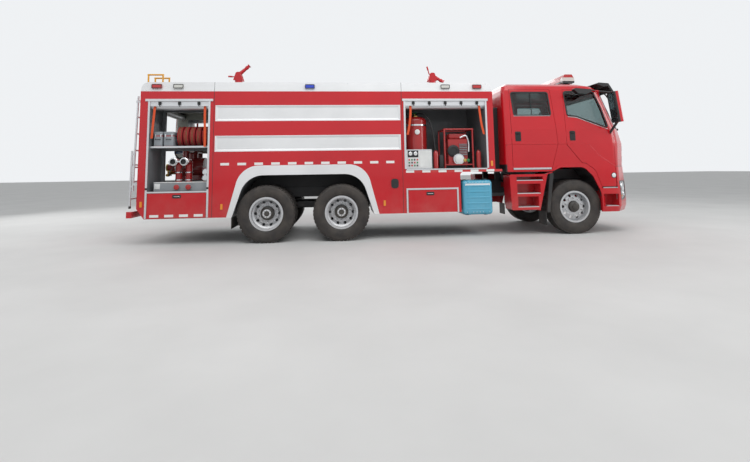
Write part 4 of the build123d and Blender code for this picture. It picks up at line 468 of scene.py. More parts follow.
def pipe(points, radius, sides=10):
    """Round bar through points, capped at both ends."""
    line = [Vector(point) for point in points]
    made = []
    normal = (line[1] - line[0]).orthogonal().normalized()
    for i, place in enumerate(line):
        tangent = (line[min(i + 1, len(line) - 1)] - line[max(i - 1, 0)]).normalized()
        normal = (normal - tangent * normal.dot(tangent)).normalized()
        across = tangent.cross(normal)
        for k in range(sides):
            angle = 2 * math.pi * k / sides
            made.append(place + (normal * math.cos(angle) + across * math.sin(angle)) * radius)
    rings = rows(sides, len(made))
    return made, joined(rings) + [tuple(reversed(rings[0])), tuple(rings[-1])]


def eased(points, steps=6):
    """A smooth line through points."""
    line = [Vector(point) for point in points]
    line = [line[0] * 2 - line[1]] + line + [line[-1] * 2 - line[-2]]
    made = []
    for a, b, c, d in zip(line, line[1:], line[2:], line[3:]):
        for k in range(steps):
            t = k / steps
            made.append(0.5 * ((2 * b) + (c - a) * t + (2 * a - 5 * b + 4 * c - d) * t ** 2
                               + (3 * b - a - 3 * c + d) * t ** 3))
    return made + [line[-2]]


def rounded(corners, steps=5):
    """Closed line of (u, v) from (u, v, radius) corners."""
    line = []
    for i, (u, v, radius) in enumerate(corners):
        here = Vector((u, v))
        if radius <= 0:
            line.append(here)
            continue
        back = (Vector(corners[i - 1][:2]) - here).normalized()
        ahead = (Vector(corners[(i + 1) % len(corners)][:2]) - here).normalized()
        reach = radius / math.tan(back.angle(ahead) / 2)
        for k in range(steps + 1):
            t = k / steps
            line.append((here + back * reach) * (1 - t) ** 2 + here * 2 * t * (1 - t)
                        + (here + ahead * reach) * t ** 2)
    return line


def rectangle(width, height, radius):
    """Rounded rectangle about the middle, as a closed line."""
    u, v = width / 2, height / 2
    return rounded([(-u, -v, radius), (u, -v, radius), (u, v, radius), (-u, v, radius)])


def plate(line, thickness, edge=0.002):
    """Closed line of (u, v) made into a plate with a chamfered face."""
    count = len(line)
    middle = sum((Vector(point) for point in line), Vector((0, 0))) / count
    reach = max((Vector(point) - middle).length for point in line)
    small = [middle + (Vector(point) - middle) * (1 - edge / reach) for point in line]
    levels = [(line, 0.0), (line, thickness - edge), (small, thickness)]
    points = [Vector((u, v, height)) for row, height in levels for u, v in row]
    rings = rows(count, 3 * count)
    return points, [tuple(reversed(rings[0])), tuple(rings[2])] + joined(rings)


def ribbon(line, width, thickness):
    """Flat band along a closed line of (u, v)."""
    count = len(line)
    points = []
    for i, place in enumerate(line):
        tangent = (line[(i + 1) % count] - line[i - 1]).normalized()
        out = Vector((-tangent.y, tangent.x)) * width / 2
        for side, height in ((-1, 0.0), (-0.8, thickness), (0.8, thickness), (1, 0.0)):
            points.append(Vector((*(place + out * side), height)))
    return points, joined(rows(4, 4 * count), closed=True, round_too=False)


def webbing(points, across, width, columns=4):
    """Single layer of cloth along a line of points; across is the way its width lies."""
    line = [Vector(point) for point in points]
    made = [place + Vector(across) * width * (k / columns - 0.5) for place in line
            for k in range(columns + 1)]
    return made, joined(rows(columns + 1, len(made)), round_too=False)


QUARTER = math.pi / 2
TURN = {
    "up": Matrix.Identity(4),
    "right": Matrix.Rotation(QUARTER, 4, "X"),
    "left": Matrix.Rotation(math.pi, 4, "Z") @ Matrix.Rotation(QUARTER, 4, "X"),
    "rear": Matrix.Rotation(-QUARTER, 4, "Z") @ Matrix.Rotation(QUARTER, 4, "X"),
    "front": Matrix.Rotation(QUARTER, 4, "Z") @ Matrix.Rotation(QUARTER, 4, "X"),
}


def facing(side, x, y, z, spin=0.0):
    """Matrix that turns local Z out of one side of the truck, with local Y up."""
    return Matrix.Translation((x, y, z)) @ TURN[side] @ Matrix.Rotation(spin, 4, "Z")


def along(place, direction):
    """Matrix that turns local Z along a direction."""
    return Matrix.Translation(place) @ Vector(direction).to_track_quat("Z", "Y").to_matrix().to_4x4()


class Piece:
    """One object of the visual model, built from forms and riding on a body."""

    def __init__(self, name, body, slot, *finishes, mirror=False):
        self.name, self.body, self.slot = name, body, slot
        self.finishes, self.mirror = finishes, mirror
        self.points, self.faces, self.looks = [], [], []

    def add(self, form, place=None, finish=0, both=False):
        """Add a form with one of the piece's finishes, counted from 0."""
        points, faces = form
        if callable(place):
            points = [place(point) for point in points]
        elif place is not None:
            points = [place @ Vector(point) for point in points]
        for flipped in (False, True) if both else (False,):
            first = len(self.points)
            turn = flipped != self.mirror
            self.points += [(p[0], -p[1], p[2]) if turn else tuple(p) for p in points]
            self.faces += [tuple(first + i for i in (reversed(face) if turn else face)) for face in faces]
            self.looks += [finish] * len(faces)
        return self

    def pair(self, form, place=None, finish=0):
        """The form and its mirror image on the truck's other side."""
        return self.add(form, place, finish, both=True)

    def done(self, sharp=35.0):
        """Make the mesh and the object."""
        mesh = bpy.data.meshes.new(self.name)
        mesh.from_pydata(self.points, [], self.faces)
        for finish in self.finishes:
            mesh.materials.append(finish)
        mesh.polygons.foreach_set("material_index", self.looks)
        mesh.polygons.foreach_set("use_smooth", [True] * len(self.faces))
        mesh.set_sharp_from_angle(angle=math.radians(sharp))
        mesh.update()
        made = bpy.data.objects.new(self.name, mesh)
        scene.collection.objects.link(made)
        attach(made, self.body)
        return made


def between(table, value):
    """Read a table of (place, result) rows in rising order, straight between rows."""
    for (low, first), (high, second) in zip(table, table[1:]):
        if value <= high:
            return first + (second - first) * max(0.0, (value - low) / (high - low))
    return table[-1][1]


# columns: height, half width, where the corner starts, front, half width of the front
CAB_SKIN = (
    (0.880, 1.236, 0.850, 1.240, 0.850),
    (1.330, 1.239, 0.862, 1.265, 0.850),
    (1.750, 1.243, 0.880, 1.290, 0.850),
    (2.040, 1.238, 0.850, 1.200, 0.850),
    (2.825, 1.152, 0.592, 0.905, 0.800),
    (2.915, 1.112, 0.470, 0.800, 0.740),
)
BUMPER_SKIN = (
    (0.420, 1.225, 0.850, 1.300, 0.780),
    (0.520, 1.245, 0.875, 1.335, 0.790),
    (0.600, 1.247, 0.880, 1.340, 0.790),
    (0.900, 1.247, 0.880, 1.335, 0.790),
    (1.290, 1.243, 0.862, 1.275, 0.845),
)


def skin_front(skin, y, z):
    """Distance from the axle of the front skin at y and z."""
    half, corner, front, front_half = (between([(row[0], row[k]) for row in skin], z) for k in range(1, 5))
    line = rounded([(front, 0.0, 0.0), (front, front_half, 0.42), (corner, half, 0.24), (0.0, half, 0.0)], 8)
    return between([(point.y, point.x) for point in line[:-1]], min(abs(y), half - 0.001))


def cab_side(z):
    """Y of the cab's right side at a height."""
    return -between([row[:2] for row in CAB_SKIN], z)


def on_side(point):
    """(distance from the axle, height, proud) on the cab's right side."""
    return Vector((from_axle(point[0]), cab_side(point[1]) - point[2], point[1]))


def on_front(point):
    """(y, height, proud) on the cab's front."""
    return Vector((from_axle(skin_front(CAB_SKIN, point[0], point[1])) + point[2], point[0], point[1]))


def on_bumper(point):
    """(y, height, proud) on the bumper's front."""
    return Vector((from_axle(skin_front(BUMPER_SKIN, point[0], point[1])) + point[2], point[0], point[1]))


def strip(u0, u1, v0, v1, thickness, steps=12):
    """Thin bar from u0 to u1 with enough columns to follow a curved skin."""
    points = []
    for k in range(steps + 1):
        u = u0 + (u1 - u0) * k / steps
        points += [(u, v0, 0.0), (u, v0, thickness), (u, v1, thickness), (u, v1, 0.0)]
    rings = rows(4, len(points))
    return points, joined(rings) + [tuple(reversed(rings[0])), tuple(rings[-1])]


# Finishes of the modelled pieces
SCREEN_BLACK = matt_plastic("gloss_black", (0.008, 0.008, 0.009), 0.12)
CHROME = satin_metal("bright_metal", (0.82, 0.83, 0.85), 0.14, (20.0, 20.0, 60.0), 1.0)
BRASS = satin_metal("brass", (0.68, 0.46, 0.14), 0.26, (40.0, 40.0, 40.0), 1.0)
MIRROR = satin_metal("mirror_glass", (0.30, 0.32, 0.34), 0.04, (2.0, 2.0, 2.0), 1.0)
REFLECT_WHITE = lens("reflective_white", (0.86, 0.86, 0.84))
REFLECT_RED = lens("reflective_red", (0.60, 0.02, 0.02))
AMBER = lens("amber_lens", (0.85, 0.30, 0.02))
CLEAR = lens("clear_lens", (0.80, 0.83, 0.85))
HOSE_RED = woven("hose_jacket", (0.30, 0.012, 0.016), 420.0)
HOSE_GREEN = woven("hose_stripe", (0.03, 0.22, 0.08), 420.0)
STRAP = woven("strap_webbing", (0.78, 0.10, 0.03), 900.0)
GREEN = gloss_paint("valve_green", (0.02, 0.24, 0.08))
GREY_BOX = matt_plastic("box_grey", (0.24, 0.26, 0.28), 0.45)
PALE = matt_plastic("pale_plastic", (0.62, 0.63, 0.62), 0.4)
BLUE = gloss_paint("panel_blue", (0.02, 0.14, 0.42))
DECK_METAL = (0.50, 0.51, 0.53)


def treadplate(name):
    """Aluminium chequer plate: raised bars that turn from cell to cell."""
    finish = Finish(name)
    cell = 0.036
    column = (finish.x * (math.pi / cell)).sine()
    row = (finish.y * (math.pi / cell)).sine()
    bars = (column * row).ramp(0.25, 0.7) + (column * row * -1.0).ramp(0.25, 0.7) * 0.8
    shade = finish.mix(bars * 0.5, scaled(DECK_METAL, 0.7), DECK_METAL)
    finish.set(Base_Color=dusty(finish, shade, 3.2, 0.3), Metallic=0.8,
               Roughness=finish.noise(6.0) * 0.2 + 0.25)
    return finish.bump(bars, 0.0015, 0.8).material


DECK = treadplate("deck_treadplate")

# Wheels: moulded tyres in place of the plain ones, with their nuts, studs and caps
CARCASS_SIDE = (
    (0.2866, 0.100), (0.2866, 0.112), (0.309, 0.1125), (0.316, 0.124), (0.334, 0.1345), (0.344, 0.1400),
    (0.348, 0.1385), (0.353, 0.1422), (0.384, 0.1468), (0.415, 0.1488), (0.440, 0.1478), (0.446, 0.1455),
    (0.452, 0.1462), (0.478, 0.1405), (0.497, 0.1335), (0.507, 0.1250), (0.507, 0.098),
)
TREAD_TOP = 0.5218
TREAD_FOOT = 0.503
# columns: across, half width of the row, blocks round the tyre, share of the pitch that is rubber
FRONT_TREAD = ((-0.106, 0.024, 64, 0.90), (-0.052, 0.021, 64, 0.93), (0.0, 0.021, 64, 0.93),
               (0.052, 0.021, 64, 0.93), (0.106, 0.024, 64, 0.90))
DRIVE_TREAD = ((-0.103, 0.028, 46, 0.72), (-0.040, 0.029, 46, 0.76), (0.040, 0.029, 46, 0.76),
               (0.103, 0.028, 46, 0.72))
NUT = turned([(0.0, 0.0), (0.0175, 0.0), (0.0175, 0.020), (0.013, 0.025), (0.0, 0.025)], 6)
STUD = turned([(0.0, 0.0), (0.0095, 0.0), (0.0095, 0.037), (0.007, 0.040), (0.0, 0.040)], 10)
NUTS = 10
NUT_CIRCLE = 0.1675


def tyre_form(piece, x, y, rows):
    """One tyre: its carcass, and tread blocks set round it."""
    profile = [(radius, out) for radius, out in CARCASS_SIDE]
    profile += [(radius, -out) for radius, out in reversed(CARCASS_SIDE)]
    axle = Matrix.Translation((x, y, AXLE_HEIGHT)) @ TURN["right"]
    piece.add(turned([(radius, out) for radius, out in reversed(profile)], 72, closed=True), axle)
    for place, half, count, share in rows:
        pitch = 2 * math.pi * TREAD_TOP / count
        block = slab((TREAD_FOOT, -pitch * share / 2, -half), (TREAD_TOP, pitch * share / 2, half), 0.003, 1)
        for k in range(count):
            angle = 2 * math.pi * (k + (0.5 if place > 0 else 0.0)) / count
            piece.add(block, axle @ Matrix.Translation((0, 0, place)) @ Matrix.Rotation(angle, 4, "Z"))


def wheel_fittings(name, body, x, face, hub_out, sign):
    """Nuts and studs on a wheel's disc, a ring of bolts on its hub, and the valve."""
    piece = Piece(name, body, "silver_trim", TRIM, PLASTIC, CHROME, mirror=sign > 0)
    place = facing("right", x, -face, AXLE_HEIGHT)
    for k in range(NUTS):
        turn = place @ Matrix.Rotation(2 * math.pi * (k + 0.5) / NUTS, 4,
                                       "Z") @ Matrix.Translation((NUT_CIRCLE, 0, 0))
        piece.add(NUT, turn, 2).add(STUD, turn)
    cap = facing("right", x, -hub_out, AXLE_HEIGHT)
    piece.add(turned([(0.050, 0.0), (0.078, 0.0), (0.078, 0.004), (0.050, 0.006)], 32, closed=True), cap)
    for k in range(8):
        turn = cap @ Matrix.Rotation(math.pi * k / 4, 4, "Z") @ Matrix.Translation((0.065, 0, 0.003))
        piece.add(turned([(0.0, 0.0), (0.008, 0.0), (0.008, 0.007), (0.0, 0.007)], 6), turn, 1)
    piece.add(pipe([(x + 0.24, -face + 0.03, AXLE_HEIGHT), (x + 0.235, -face - 0.012, AXLE_HEIGHT)], 0.005))
    piece.done()


TWIN_PLACES = (1.096, 0.762)
for side, sign in SIDES:
    front_tyre = Piece(f"front_tyre_{side}", f"wheel_front_{side}", "tyre_rubber", RUBBER)
    tyre_form(front_tyre, FRONT_AXLE, sign * 1.031, FRONT_TREAD)
    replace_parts(front_tyre.done(), f"tyre_front_{side}")
    wheel_fittings(f"front_wheel_fittings_{side}", f"wheel_front_{side}", FRONT_AXLE, 1.0935, 1.137, sign)
    for number, x in enumerate(REAR_AXLES, start=1):
        twins = Piece(f"rear_tyres_{number}_{side}", f"wheels_rear_{number}_{side}", "tyre_rubber", RUBBER)
        for place in TWIN_PLACES:
            tyre_form(twins, x, sign * place, DRIVE_TREAD)
        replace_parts(twins.done(), f"tyres_rear_{number}_{side}")
        wheel_fittings(f"rear_wheel_fittings_{number}_{side}", f"wheels_rear_{number}_{side}", x, 1.0415,
                       1.149, sign)

# Reflective strips on the locker body
SKIN_Y = 1.240
TRIM_Y = 1.250
DASH = plate(rectangle(0.155, 0.045, 0.004), 0.0015, 0.0005)
UPRIGHT_DASH = plate(rectangle(0.045, 0.155, 0.004), 0.0015, 0.0005)
strips = Piece("reflective_strips", "chassis", "white_paint", REFLECT_WHITE, REFLECT_RED)
for k in range(11):
    strips.pair(DASH, facing("right", from_axle(-6.668 + 0.304 * k), -SKIN_Y, 1.437))
for k in range(12):
    strips.pair(DASH, facing("right", from_axle(-3.255 + 0.1555 * k), -SKIN_Y, 1.253), k % 2)
body_rear_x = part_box("body_rear")[0].x
for k in range(8):
    strips.pair(UPRIGHT_DASH, facing("rear", body_rear_x, -1.195, 0.90 + 0.235 * k), k % 2)
for k in range(7):
    strips.add(DASH, facing("rear", body_rear_x, 1.03 - 0.295 * k, 2.715), k % 2)
step_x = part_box("rear_step")[0].x
for k in range(8):
    strips.add(DASH, facing("rear", step_x, -1.12 + 0.32 * k, 0.560), k % 2)
strips.done()
for side, sign in SIDES:
    dashes = Piece(f"flap_strips_{side}", f"rear_flap_{side}", "white_paint", REFLECT_WHITE, mirror=sign > 0)
    for k in range(4):
        dashes.add(DASH, facing("right", -4.37 + 0.255 * k, -TRIM_Y, 0.530))
    dashes.done()

# Shutter latches and the straps that pull the shutters down
REAR_OPEN = (-4.507, -3.472)
FRONT_OPEN = (0.185, 1.745)
LATCH_Z = 2.560
HOOK = pipe(eased([(0.0, 0.018, 0.012), (0.0, -0.010, 0.020), (0.0, -0.045, 0.014),
                   (0.010, -0.058, 0.006)]), 0.006)
LATCH_PLATE = plate(rectangle(0.054, 0.060, 0.010), 0.006)

hooks = Piece("shutter_hooks", "chassis", "black_plastic", PLASTIC, TRIM)
for x0, x1, count in ((*REAR_OPEN, 3), (*FRONT_OPEN, 5)):
    for k in range(count):
        x = x0 + (x1 - x0) * (k + 0.5) / count
        matrix = facing("right", x, -SKIN_Y - 0.008, LATCH_Z)
        hooks.pair(LATCH_PLATE, matrix)
        hooks.pair(HOOK, matrix @ Matrix.Translation((0, 0, 0.004)))
    hooks.pair(strip(x0 + 0.004, x1 - 0.004, 2.508, 2.514, 0.006, 2),
               facing("right", 0, -1.234, 0), 1)
for k in range(4):
    matrix = facing("rear", body_rear_x - 0.008, -0.6 + 1.2 * (k + 0.5) / 4, LATCH_Z)
    hooks.add(LATCH_PLATE, matrix).add(HOOK, matrix @ Matrix.Translation((0, 0, 0.004)))
for x in (REAR_OPEN[0] - 0.016, REAR_OPEN[1] + 0.016):
    hooks.pair(slab((x - 0.017, -1.2535, 0.992), (x + 0.017, -1.2485, 1.030)))
hooks.done()

# columns: name, line of (x, y, z)
STRAPS = (("strap_rear_aft",
           [(-4.435, -1.212, 2.52), (-4.440, -1.225, 2.36), (-4.452, -1.232, 2.15),
            (-4.470, -1.222, 1.92)]),
          ("strap_rear_fore",
           [(-3.545, -1.212, 2.52), (-3.540, -1.226, 2.30), (-3.532, -1.233, 2.05),
            (-3.530, -1.224, 1.76)]),
          ("strap_front_aft",
           [(0.290, -1.212, 2.52), (0.285, -1.226, 2.36), (0.262, -1.234, 2.15), (0.222, -1.226, 1.95)]),
          ("strap_front_fore",
           [(1.640, -1.212, 2.52), (1.648, -1.226, 2.36), (1.670, -1.234, 2.15), (1.715, -1.226, 1.95)]),)
STRAP_WIDTH = 0.042


def hang(name, line, across):
    """A pull strap as a hung sheet of webbing."""
    points = eased(line, 8)
    strap = Piece(name, "chassis", "seat_fabric", STRAP).add(webbing(points, across, STRAP_WIDTH)).done()


for name, line in STRAPS:
    for side, sign in SIDES:
        hang(f"{name}_{side}", [(x, -sign * y, z) for x, y, z in line], (1, 0, 0))
for name, y in (("strap_pump_room_right", -0.50), ("strap_pump_room_left", 0.50)):
    hang(name,
         [(-4.655, y, 2.52), (-4.668, y * 1.02, 2.30), (-4.674, y * 1.05, 2.08),
          (-4.668, y * 1.08, 1.88)], (0, 1, 0))

# Rear locker: rolled hoses, boxes and couplings
SHELF_Z = 1.777
OPEN_LENGTH = REAR_OPEN[1] - REAR_OPEN[0]
ROLL_RADIUS = 0.190
ROLL_HALF = 0.040
ROLL_TURNS = 12


def hose_roll():
    """Rolled lay-flat hose: one ridge for each turn on both faces."""
    profile = [(0.028, -ROLL_HALF)]
    for k in range(ROLL_TURNS):
        inner = 0.032 + (ROLL_RADIUS - 0.032) * k / ROLL_TURNS
        outer = 0.032 + (ROLL_RADIUS - 0.032) * (k + 1) / ROLL_TURNS
        profile += [(inner, -ROLL_HALF), ((inner + outer) / 2, -ROLL_HALF - 0.0035)]
    profile += [(ROLL_RADIUS + 0.001, -ROLL_HALF + 0.004), (ROLL_RADIUS + 0.002, 0.0)]
    return turned(profile + [(radius, -out) for radius, out in reversed(profile[:-1])], 40, closed=True)


hoses = Piece("rolled_hoses", "chassis", "equipment_red", HOSE_RED, HOSE_GREEN, CHROME)
fittings = Piece("hose_fittings", "chassis", "silver_trim", CHROME, EQUIPMENT, PLASTIC, HOSE_RED)
roll = hose_roll()
roll_pitch = OPEN_LENGTH * (0.96 - 0.42) / 5
for k in range(5):
    x = REAR_OPEN[0] + OPEN_LENGTH * 0.42 + roll_pitch * (k + 0.5)
    place = Matrix.Translation((x, -0.940, SHELF_Z + ROLL_RADIUS)) @ Matrix.Rotation(QUARTER, 4, "Y")
    hoses.pair(roll, place)
    for out in (-0.012, 0.012):
        hoses.pair(turned([(ROLL_RADIUS + 0.0015, out - 0.003), (ROLL_RADIUS + 0.0032, out),
                          (ROLL_RADIUS + 0.0015, out + 0.003)], 40), place, 1)
    hoses.pair(turned([(0.0, -0.052), (0.026, -0.052), (0.026, 0.052), (0.0, 0.052)], 20), place, 2)
hoses.done()
COUPLING = [(0.052, -0.004), (0.0745, -0.004), (0.0765, 0.006), (0.0745, 0.018), (0.066, 0.024),
            (0.064, 0.046), (0.050, 0.048), (0.046, 0.040)]
for share in (0.39, 0.57):
    x = REAR_OPEN[0] + OPEN_LENGTH * share
    place = facing("right", x, -1.130, 1.496)
    fittings.pair(turned([(0.0, -0.004), *COUPLING], 36), place)
    fittings.pair(turned([(0.049, 0.040), (0.040, 0.012), (0.0, 0.008)], 32), place, 2)
    for k in range(2):
        lug = place @ Matrix.Rotation(math.pi * k, 4, "Z")
        fittings.pair(slab((0.060, -0.014, 0.002), (0.092, 0.014, 0.016), 0.004), lug)
    fittings.pair(pipe(eased([(x, -1.06, 1.42), (x - 0.05, -1.10, 1.36), (x - 0.08, -1.11, 1.27)]),
                       0.009), finish=2)
    for level in (1.16, 1.30):
        ring = Matrix.Translation((x, -0.840, level))
        fittings.pair(turned([(0.057, -0.012), (0.068, -0.010), (0.068, 0.010), (0.057, 0.012)], 32), ring)
for share in (0.47, 0.67):
    place = facing("right", REAR_OPEN[0] + OPEN_LENGTH * share, -1.184, 1.034)
    fittings.pair(turned([(0.0, 0.0), (0.048, 0.0), (0.048, 0.010), (0.040, 0.014), (0.0, 0.012)], 32),
                  place, 1)
for k, level in enumerate((1.20, 1.31)):
    place = facing("right", -3.545, -1.08, level)
    fittings.pair(turned([(0.0, -0.05), (0.052, -0.05), (0.052, 0.0), (0.060, 0.002), (0.060, 0.016),
                          (0.044, 0.030), (0.0, 0.030)], 32), place)
fittings.pair(slab((-3.60, -1.05, 1.112), (-3.49, -0.90, 1.38), 0.010), finish=3)
fittings.done()

cases = Piece("locker_cases", "chassis", "panel_white", GREY_BOX, TRIM, PALE, PLASTIC)
for start, end in ((0.05, 0.19), (0.22, 0.38)):
    x0, x1 = REAR_OPEN[0] + OPEN_LENGTH * start, REAR_OPEN[0] + OPEN_LENGTH * end
    cases.pair(slab((x0 - 0.004, -1.154, SHELF_Z + 0.200), (x1 + 0.004, -0.816, SHELF_Z + 0.272), 0.010))
    cases.pair(slab((x0 - 0.002, -1.152, SHELF_Z + 0.002), (x1 + 0.002, -0.818, SHELF_Z + 0.192), 0.012))
    middle = (x0 + x1) / 2
    cases.pair(pipe([(middle - 0.04, -1.152, SHELF_Z + 0.13), (middle - 0.04, -1.176, SHELF_Z + 0.13),
                     (middle + 0.04, -1.176, SHELF_Z + 0.13), (middle + 0.04, -1.152, SHELF_Z + 0.13)],
                    0.006), finish=3)
    for x in (x0 + 0.025, x1 - 0.025):
        cases.pair(slab((x - 0.010, -1.160, SHELF_Z + 0.165), (x + 0.010, -1.150, SHELF_Z + 0.225),
                        0.002), finish=1)
cases.pair(slab((-4.436, -1.150, 1.112), (-3.478, -0.722, 1.126), 0.004), finish=2)
cases.pair(slab((-4.425, -1.149, 1.00), (-4.325, -1.140, 1.10), 0.004), finish=2)
cases.pair(strip(REAR_OPEN[0] + 0.002, REAR_OPEN[1] - 0.002, 1.748, 1.780, 0.004, 2),
          facing("right", 0, -1.180, 0), 1)
cases.done()

# Front locker: control panel, powder tank and motor pump
panel = Piece("control_panel_details", "chassis", "panel_white", PALE, PLASTIC, CHROME, REFLECT_RED,
              GREEN, SCREEN_BLACK)
PANEL_FACE = -1.200
DIAL = turned([(0.0, 0.0), (0.036, 0.0), (0.036, 0.010), (0.031, 0.012), (0.031, 0.008), (0.0, 0.008)], 32)
DIAL_FACE = turned([(0.0, 0.0085), (0.030, 0.0085)], 24)
NEEDLE = slab((-0.0015, -0.004, 0.008), (0.0015, 0.024, 0.010), 0.0005, 1)
KNOB = turned([(0.0, 0.0), (0.016, 0.0), (0.016, 0.004), (0.011, 0.006), (0.011, 0.020), (0.0, 0.021)], 20)
panel.pair(ribbon([Vector(p) for p in ((0.197, 1.313), (0.673, 1.313), (0.673, 1.657), (0.197, 1.657))],
                  0.020, 0.004), facing("right", 0, PANEL_FACE, 0), 2)
panel.pair(plate(rectangle(0.20, 0.30, 0.008), 0.003), facing("right", 0.555, PANEL_FACE, 1.485))
panel.pair(plate(rectangle(0.205, 0.13, 0.006), 0.003), facing("right", 0.320, PANEL_FACE, 1.585), 5)
for x in (0.270, 0.368):
    place = facing("right", x, PANEL_FACE - 0.003, 1.590)
    panel.pair(DIAL, place, 2)
    panel.pair(DIAL_FACE, place)
    panel.pair(NEEDLE, facing("right", x, PANEL_FACE - 0.003, 1.590, 0.6), 1)
for row, level in enumerate((1.475, 1.420, 1.365)):
    for k in range(4):
        panel.pair(KNOB, facing("right", 0.245 + 0.052 * k, PANEL_FACE, level), (3, 4, 1)[(k + row) % 3])
for x in (0.195, 0.675):
    for z in (1.311, 1.659):
        panel.pair(STUD, facing("right", x, PANEL_FACE + 0.034, z), 2)
panel.done()

POWDER_TANK = (0.445, -0.800)
gear = Piece("locker_machinery", "chassis", "equipment_red", EQUIPMENT, PLASTIC, CHROME, BRASS, GREEN,
             GREY_BOX, PALE)
for level in (1.42, 2.16):
    gear.pair(turned([(0.2255, -0.018), (0.230, -0.014), (0.230, 0.014), (0.2255, 0.018)], 48),
             Matrix.Translation((*POWDER_TANK, level)), 2)
gear.pair(turned([(0.0, 0.0), (0.060, 0.0), (0.060, 0.025), (0.034, 0.034), (0.030, 0.070), (0.0, 0.074)],
                 28), Matrix.Translation((*POWDER_TANK, 2.328)), 3)
gear.pair(turned([(0.066, -0.008), (0.074, 0.0), (0.066, 0.008), (0.060, 0.0)], 32, closed=True),
         Matrix.Translation((*POWDER_TANK, 2.412)), 4)
gear.pair(turned([(0.0, 0.0), (0.050, 0.0), (0.050, 0.016), (0.044, 0.018), (0.0, 0.016)], 28),
         facing("right", POWDER_TANK[0], POWDER_TANK[1] - 0.224, 2.02), 6)
gear.pair(pipe(eased([(0.445, -0.80, 2.37), (0.52, -0.92, 2.40), (0.66, -1.02, 2.30), (0.74, -1.05, 2.05),
                     (0.78, -1.06, 1.70), (0.80, -1.05, 1.36)]), 0.016, 12), finish=1)
ENGINE_FACE = -1.020
gear.pair(turned([(0.0, 0.0), (0.118, 0.0), (0.118, 0.020), (0.100, 0.034), (0.070, 0.036), (0.066, 0.028),
                 (0.0, 0.030)], 36), facing("right", 1.150, ENGINE_FACE, 1.640), 1)
for k in range(7):
    gear.pair(slab((1.270, ENGINE_FACE - 0.030, 1.560 + 0.034 * k),
                   (1.425, ENGINE_FACE + 0.05, 1.572 + 0.034 * k), 0.002, 1), finish=5)
gear.pair(slab((1.075, -1.000, 1.875), (1.415, -0.700, 1.985), 0.030, 4))
gear.pair(turned([(0.0, 0.0), (0.034, 0.0), (0.034, 0.018), (0.0, 0.020)], 24),
          Matrix.Translation((1.16, -0.88, 1.985)), 1)
gear.pair(turned([(0.0, -0.02), (0.074, -0.02), (0.074, 0.012), (0.080, 0.014), (0.080, 0.028),
                  (0.056, 0.034), (0.0, 0.030)], 36), facing("right", 1.245, -1.075, 1.475), 6)
gear.pair(turned([(0.0, 0.0), (0.105, 0.0), (0.118, -0.015), (0.118, -0.060), (0.0, -0.060)], 36),
         facing("right", 1.245, -1.078, 1.475), 2)
for x, finish in ((1.360, 3), (1.425, 4)):
    gear.pair(turned([(0.0, 0.0), (0.020, 0.0), (0.020, 0.030), (0.030, 0.032), (0.030, 0.040),
                      (0.0, 0.042)], 20), facing("right", x, -1.060, 1.455), finish)
    gear.pair(slab((x - 0.030, -1.108, 1.452), (x + 0.030, -1.098, 1.462), 0.002), finish=finish)
gear.pair(pipe(eased([(1.30, -0.98, 1.90), (1.42, -1.00, 1.94), (1.47, -1.00, 1.80),
                      (1.46, -1.02, 1.62)]), 0.022, 12), finish=2)
RACK_Z = 1.3015
BOTTLE = turned([(0.0, 0.0), (0.045, 0.0), (0.045, 0.300), (0.032, 0.330), (0.016, 0.350), (0.0, 0.352)], 28)
for y, finish in ((-1.13, 1), (-1.03, 0)):
    gear.pair(slab((0.840, y - 0.04, RACK_Z), (0.915, y + 0.04, 1.560), 0.012), finish=finish)
for x, y in ((0.775, -1.135), (1.630, -1.105)):
    gear.pair(BOTTLE, Matrix.Translation((x, y, RACK_Z)))
    gear.pair(slab((x - 0.012, y - 0.05, 1.650), (x + 0.012, y + 0.012, 1.672), 0.003), finish=1)
gear.done()

# Handles of the flaps, and the fuel tank's bands, bolts and cap
for side, sign in SIDES:
    for name, body, x, z in (("front_flap_handle", "front_flap", 0.624, 0.835),
                             ("rear_flap_handle", "rear_flap", -3.990, 0.870)):
        handle = Piece(f"{name}_{side}", f"{body}_{side}", "black_plastic", PLASTIC, CHROME, mirror=sign > 0)
        handle.add(plate(rectangle(0.150, 0.062, 0.014), 0.005), facing("right", x, -TRIM_Y, z))
        handle.add(pipe(eased([(x - 0.05, -TRIM_Y - 0.004, z), (x - 0.03, -TRIM_Y - 0.016, z),
                               (x + 0.03, -TRIM_Y - 0.016, z), (x + 0.05, -TRIM_Y - 0.004, z)]), 0.006),
                   finish=1)
        handle.done()
tank_low, tank_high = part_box("fuel_tank")
tank = Piece("tank_fittings", "chassis", "silver_trim", TRIM, WHITE_PAINT, PLASTIC, TANK_BLUE)
for x in (tank_low.x + 0.125, tank_high.x - 0.125):
    near, far, foot, top = tank_low.y + 0.004, tank_high.y + 0.003, tank_low.z - 0.003, tank_high.z + 0.003
    outline = rounded([(near, foot, 0.060), (far, foot, 0.060), (far, top, 0.060), (near, top, 0.060)])
    tank.add(ribbon(outline, 0.004, 0.046), facing("front", x - 0.023, 0, 0), 3)
tank.add(strip(tank_low.x + 0.050, tank_high.x - 0.050, 0.968, 1.006, 0.004, 2),
         facing("right", 0, tank_low.y + 0.006, 0), 1)
for k in range(8):
    for z in (0.470, 1.028):
        tank.add(turned([(0.0, 0.0), (0.007, 0.0), (0.005, 0.005), (0.0, 0.006)], 12),
                 facing("right", tank_low.x + 0.075 + 0.0625 * k, tank_low.y + 0.009, z))
tank.add(turned([(0.0, 0.0), (0.058, 0.0), (0.058, 0.012), (0.050, 0.016), (0.050, 0.034), (0.0, 0.036)], 32),
         Matrix.Translation((tank_high.x - 0.12, tank_low.y + 0.14, tank_high.z - 0.002)), 2)
tank.done()

